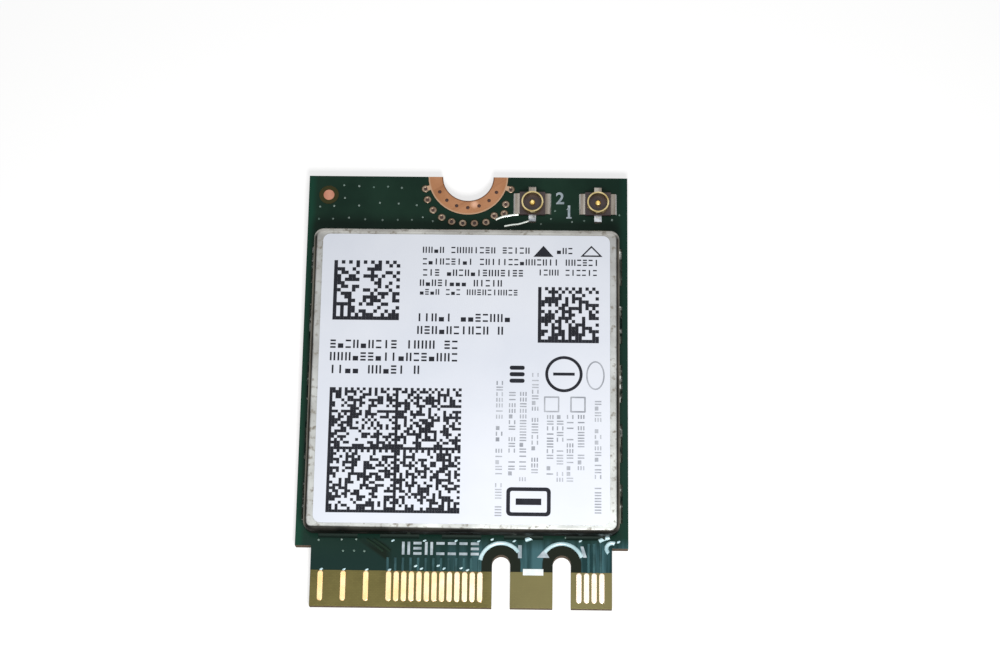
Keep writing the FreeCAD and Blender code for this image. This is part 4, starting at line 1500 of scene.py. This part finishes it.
def keep_code(name, edges, columns, rows, seed):
    """Code that fills a rectangle of the label, in millimetres."""
    x_low, x_high, y_low, y_high = edges
    middle = ((x_low + x_high) / 2, (y_low + y_high) / 2, (LABEL_TOP + PRINT_THICKNESS / 2) / MM)
    code = grow(
        name, code_tree, [middle], Columns=columns, Rows=rows, Pitch_X=(x_high - x_low) / columns * MM,
        Pitch_Y=(y_high - y_low) / rows * MM, Thickness=PRINT_THICKNESS, Share=DARK_SHARE, Seed=seed,
        Finish=print_ink,
    )
    keep(code)


keep_code("code_rear_left", REAR_LEFT_CODE, columns=18, rows=17, seed=3)
keep_code("code_right", RIGHT_CODE, columns=18, rows=17, seed=11)
for number, (i, j) in enumerate(((0, 0), (1, 0), (0, 1), (1, 1)), 1):
    edges = (TILE_X[i], TILE_X[i + 1], TILE_Y[j], TILE_Y[j + 1])
    keep_code(f"code_tile_{number}", edges, columns=22, rows=22, seed=TILE_SEED + number)

# %% [markdown]
# ## Lines of print
# Dark lines fill the rear half of the label, with two triangles beside them. They are all
# thin plates on the sheet. A picture on the paper could show the same, but the edges of
# plates stay crisp at any distance.

# %% Lines of print
LINES_SEED = 12
# Start, end, middle and height of each line.
DARK_LINES = (
    (-2.95, 4.30, 9.15, 0.44), (6.15, 7.60, 9.15, 0.44), (-2.93, 9.20, 8.32, 0.44),
    (-2.90, 4.07, 7.53, 0.46), (4.90, 9.00, 7.60, 0.42), (-3.10, 2.50, 6.80, 0.46),
    (-3.08, 3.68, 6.15, 0.40), (-3.24, 3.50, 4.35, 0.56), (-3.20, 2.97, 3.46, 0.56),
    (-9.00, -0.17, 2.44, 0.58), (-9.00, -0.29, 1.57, 0.58), (-8.97, -2.55, 0.68, 0.58),
)
FULL_TRIANGLE = [(4.56, 8.72), (5.92, 8.72), (5.24, 9.51)]
OPEN_TRIANGLE = [(7.75, 8.75), (9.24, 8.75), (8.49, 9.54)], [(7.97, 8.85), (9.02, 8.85), (8.49, 9.40)]


def label_plates():
    return Plates(LABEL_TOP - INK_SINK, LABEL_TOP + PRINT_THICKNESS)


dice = random.Random(LINES_SEED)
lines = label_plates()
for start, end, middle, tall in DARK_LINES:
    bar_row(lines, start, end, middle, tall, dice)
lines.plate(FULL_TRIANGLE)
lines.band(*OPEN_TRIANGLE)
keep(lines.piece("print_lines", print_ink))

# %% [markdown]
# ## Marks on the label
# Larger marks are plain shapes: a circle with a bar, a stack of three bars, and a frame
# with a bar. A band between two outlines makes a ring or a frame in one piece.

# %% Marks on the label
CIRCLE = (6.67, 0.48)
CIRCLE_RADII = (1.25, 1.05)
CIRCLE_BAR = (5.95, 7.39, 0.38, 0.58)
STACK_X, STACK_LEVELS = (3.05, 4.05), (-0.15, 0.30, 0.75)
STACK_HEIGHT, STACK_CORNER = 0.28, 0.12
FRAME_OUTSIDE = (2.93, 5.85, -9.2, -7.27, 0.3)
FRAME_INSIDE = (3.18, 5.60, -8.95, -7.52, 0.12)
FRAME_BAR = (3.55, 5.23, -8.45, -8.02)

marks = label_plates()
marks.band(*(oval_outline(*CIRCLE, radius, radius) for radius in CIRCLE_RADII))
marks.box(*CIRCLE_BAR)
for level in STACK_LEVELS:
    marks.plate(rounded_outline(*STACK_X, level, level + STACK_HEIGHT, STACK_CORNER, steps=4))
marks.band(*(rounded_outline(*edges, steps=4) for edges in (FRAME_OUTSIDE, FRAME_INSIDE)))
marks.box(*FRAME_BAR)
keep(marks.piece("print_marks", print_ink))

# %% [markdown]
# ## Faint print
# On the right of the label lighter print runs down the sheet, at a right angle to the rest,
# with an oval and two small frames. Fewer or thinner bars would look weak too, but broken.
# A grey ink of its own keeps them even.

# %% Faint print
FAINT_SEED = 31
FAINT_HEIGHT = 0.44
FAINT_OVAL, OVAL_SIZES = (8.77, 0.40), ((0.62, 1.0), (0.52, 0.9))
SMALL_FRAMES_X, SMALL_FRAME_WIDTH, SMALL_FRAME_Y = (5.35, 7.10), 1.03, (-2.16, -1.07)
SMALL_FRAME_LINE, SMALL_FRAME_CORNERS = 0.1, (0.05, 0.03)
# Place across, start and end of each column.
FAINT_COLUMNS = (
    (2.40, 0.04, 9.28), (3.25, 0.79, 6.85), (3.98, 0.78, 7.05), (4.77, -0.54, 7.04), (5.78, 2.35, 6.69),
    (6.44, 2.34, 7.09), (7.10, 2.33, 7.01), (7.83, 2.32, 6.33), (8.95, 1.35, 9.07),
)

dice = random.Random(FAINT_SEED)
faint = label_plates()
faint.band(*(oval_outline(*FAINT_OVAL, *sizes) for sizes in OVAL_SIZES))
for across, start, end in FAINT_COLUMNS:
    bar_row(faint, start, end, across, FAINT_HEIGHT, dice, upright=False)
for left in SMALL_FRAMES_X:
    outlines = []
    for inward, corner in zip((0.0, SMALL_FRAME_LINE), SMALL_FRAME_CORNERS):
        x_low, x_high = left + inward, left + SMALL_FRAME_WIDTH - inward
        y_low, y_high = SMALL_FRAME_Y[0] + inward, SMALL_FRAME_Y[1] - inward
        outlines.append(rounded_outline(x_low, x_high, y_low, y_high, corner, steps=2))
    faint.band(*outlines)
keep(faint.piece("print_faint", faint_ink))

# %% [markdown]
# ## Floor
# The card lies on a floor that is wide enough to have no visible edge. A square would do,
# but the rim of a circle is equally far on all sides. It lies a hair below the card, so that
# the two never share a face.

# %% Floor
FLOOR_HEIGHT = -0.03 * MM
FLOOR_RADIUS = 2.0

floor_data = bpy.data.meshes.new("floor")
floor_mesh = bmesh.new()
bmesh.ops.create_circle(floor_mesh, cap_ends=True, radius=FLOOR_RADIUS, segments=64)
floor_mesh.to_mesh(floor_data)
floor_mesh.free()
floor_data.transform(Matrix.Translation((0, 0, FLOOR_HEIGHT)))
floor = link_piece("floor", floor_data)
print(floor.name, "radius", FLOOR_RADIUS, "m")

# %% [markdown]
# ## White floor
# The light of the floor is split: a grey cloth takes the card's soft shadow, and a glow,
# which only the camera, mirrors and glass see, lifts it to white. So the floor looks white
# without throwing more light on the card.

# %% White floor
FLOOR_GREY = (0.5, 0.5, 0.5, 1)
GLOW_SPAN, GLOW_NEAR, GLOW_FAR = (60.0, 400.0), 0.66, 1.0


def seen_directly(tree):
    """1 for rays from the camera, a mirror or glass, and 0 for light that falls on things."""
    rays = put(tree, "ShaderNodeLightPath")
    seen = figure(tree, "MAXIMUM", rays["Is Camera Ray"], rays["Is Glossy Ray"])
    return figure(tree, "MAXIMUM", seen, rays["Is Transmission Ray"])


floor_finish = bpy.data.materials.new("white_floor")
floor_finish.use_nodes = True
tree = floor_finish.node_tree
tree.nodes.clear()
level = over(tree, measure(tree, "LENGTH", card_spot(tree)), GLOW_SPAN, GLOW_NEAR, GLOW_FAR)
strength = figure(tree, "MULTIPLY", seen_directly(tree), level)
glow = put(tree, "ShaderNodeEmission", {"Color": (1, 1, 1, 1), "Strength": strength})[0]
cloth = put(tree, "ShaderNodeBsdfDiffuse", {"Color": FLOOR_GREY})[0]
both = put(tree, "ShaderNodeAddShader", {0: cloth, 1: glow})[0]
put(tree, "ShaderNodeOutputMaterial", {"Surface": both})
floor_data.materials.append(floor_finish)
print(floor_finish.name, "has", len(tree.nodes), "nodes")

# %% [markdown]
# ## Sky
# An even sky fills the shadows. Like the floor it is white for the camera and for mirrors,
# and about a third as bright where it lights the card, so that colours come out as written.

# %% Sky
SKY_COLOUR = (0.99, 0.995, 1.0, 1.0)
SKY_LIGHT, SKY_SEEN = 0.35, 1.0

sky = bpy.data.worlds.new("sky")
sky.use_nodes = True
tree = sky.node_tree
backdrop = tree.nodes["Background"]
backdrop.inputs["Color"].default_value = SKY_COLOUR
feed(backdrop, Strength=between(tree, seen_directly(tree), SKY_LIGHT, SKY_SEEN))
scene.world = sky
print(sky.name, "lights at", SKY_LIGHT)

# %% [markdown]
# ## Lamps
# One small soft lamp stands near the camera and gives the glints on gold, solder and mask.
# A wide panel hangs overhead, set back so that it shows in the shield's rims and not in
# the contacts. Their strength is given as the brightness of their surface, which stays the
# same when a lamp is made larger.

# %% Lamps
def soft_lamp(name, place, target, width, depth, radiance, colour):
    """Area lamp of a given brightness, aimed at a point. Places and sizes in millimetres."""
    data = bpy.data.lights.new(name, "AREA")
    data.shape = "RECTANGLE"
    data.size = width * MM
    data.size_y = depth * MM
    data.energy = radiance * math.pi * data.size * data.size_y
    data.color = colour
    lamp = link_piece(name, data)
    lamp.location = Vector(place) * MM
    lamp.rotation_euler = (Vector(target) - Vector(place)).to_track_quat("-Z", "Y").to_euler()
    print(name, round(data.energy, 4), "W")


soft_lamp(
    "front_lamp", place=(8, -41, 55), target=(0, 0, 0), width=22, depth=22, radiance=26.0,
    colour=(1.0, 0.99, 0.97),
)
soft_lamp(
    "overhead_panel", place=(0, 43, 200), target=(0, 43, 0), width=120, depth=28, radiance=1.8,
    colour=(0.96, 0.98, 1.0),
)
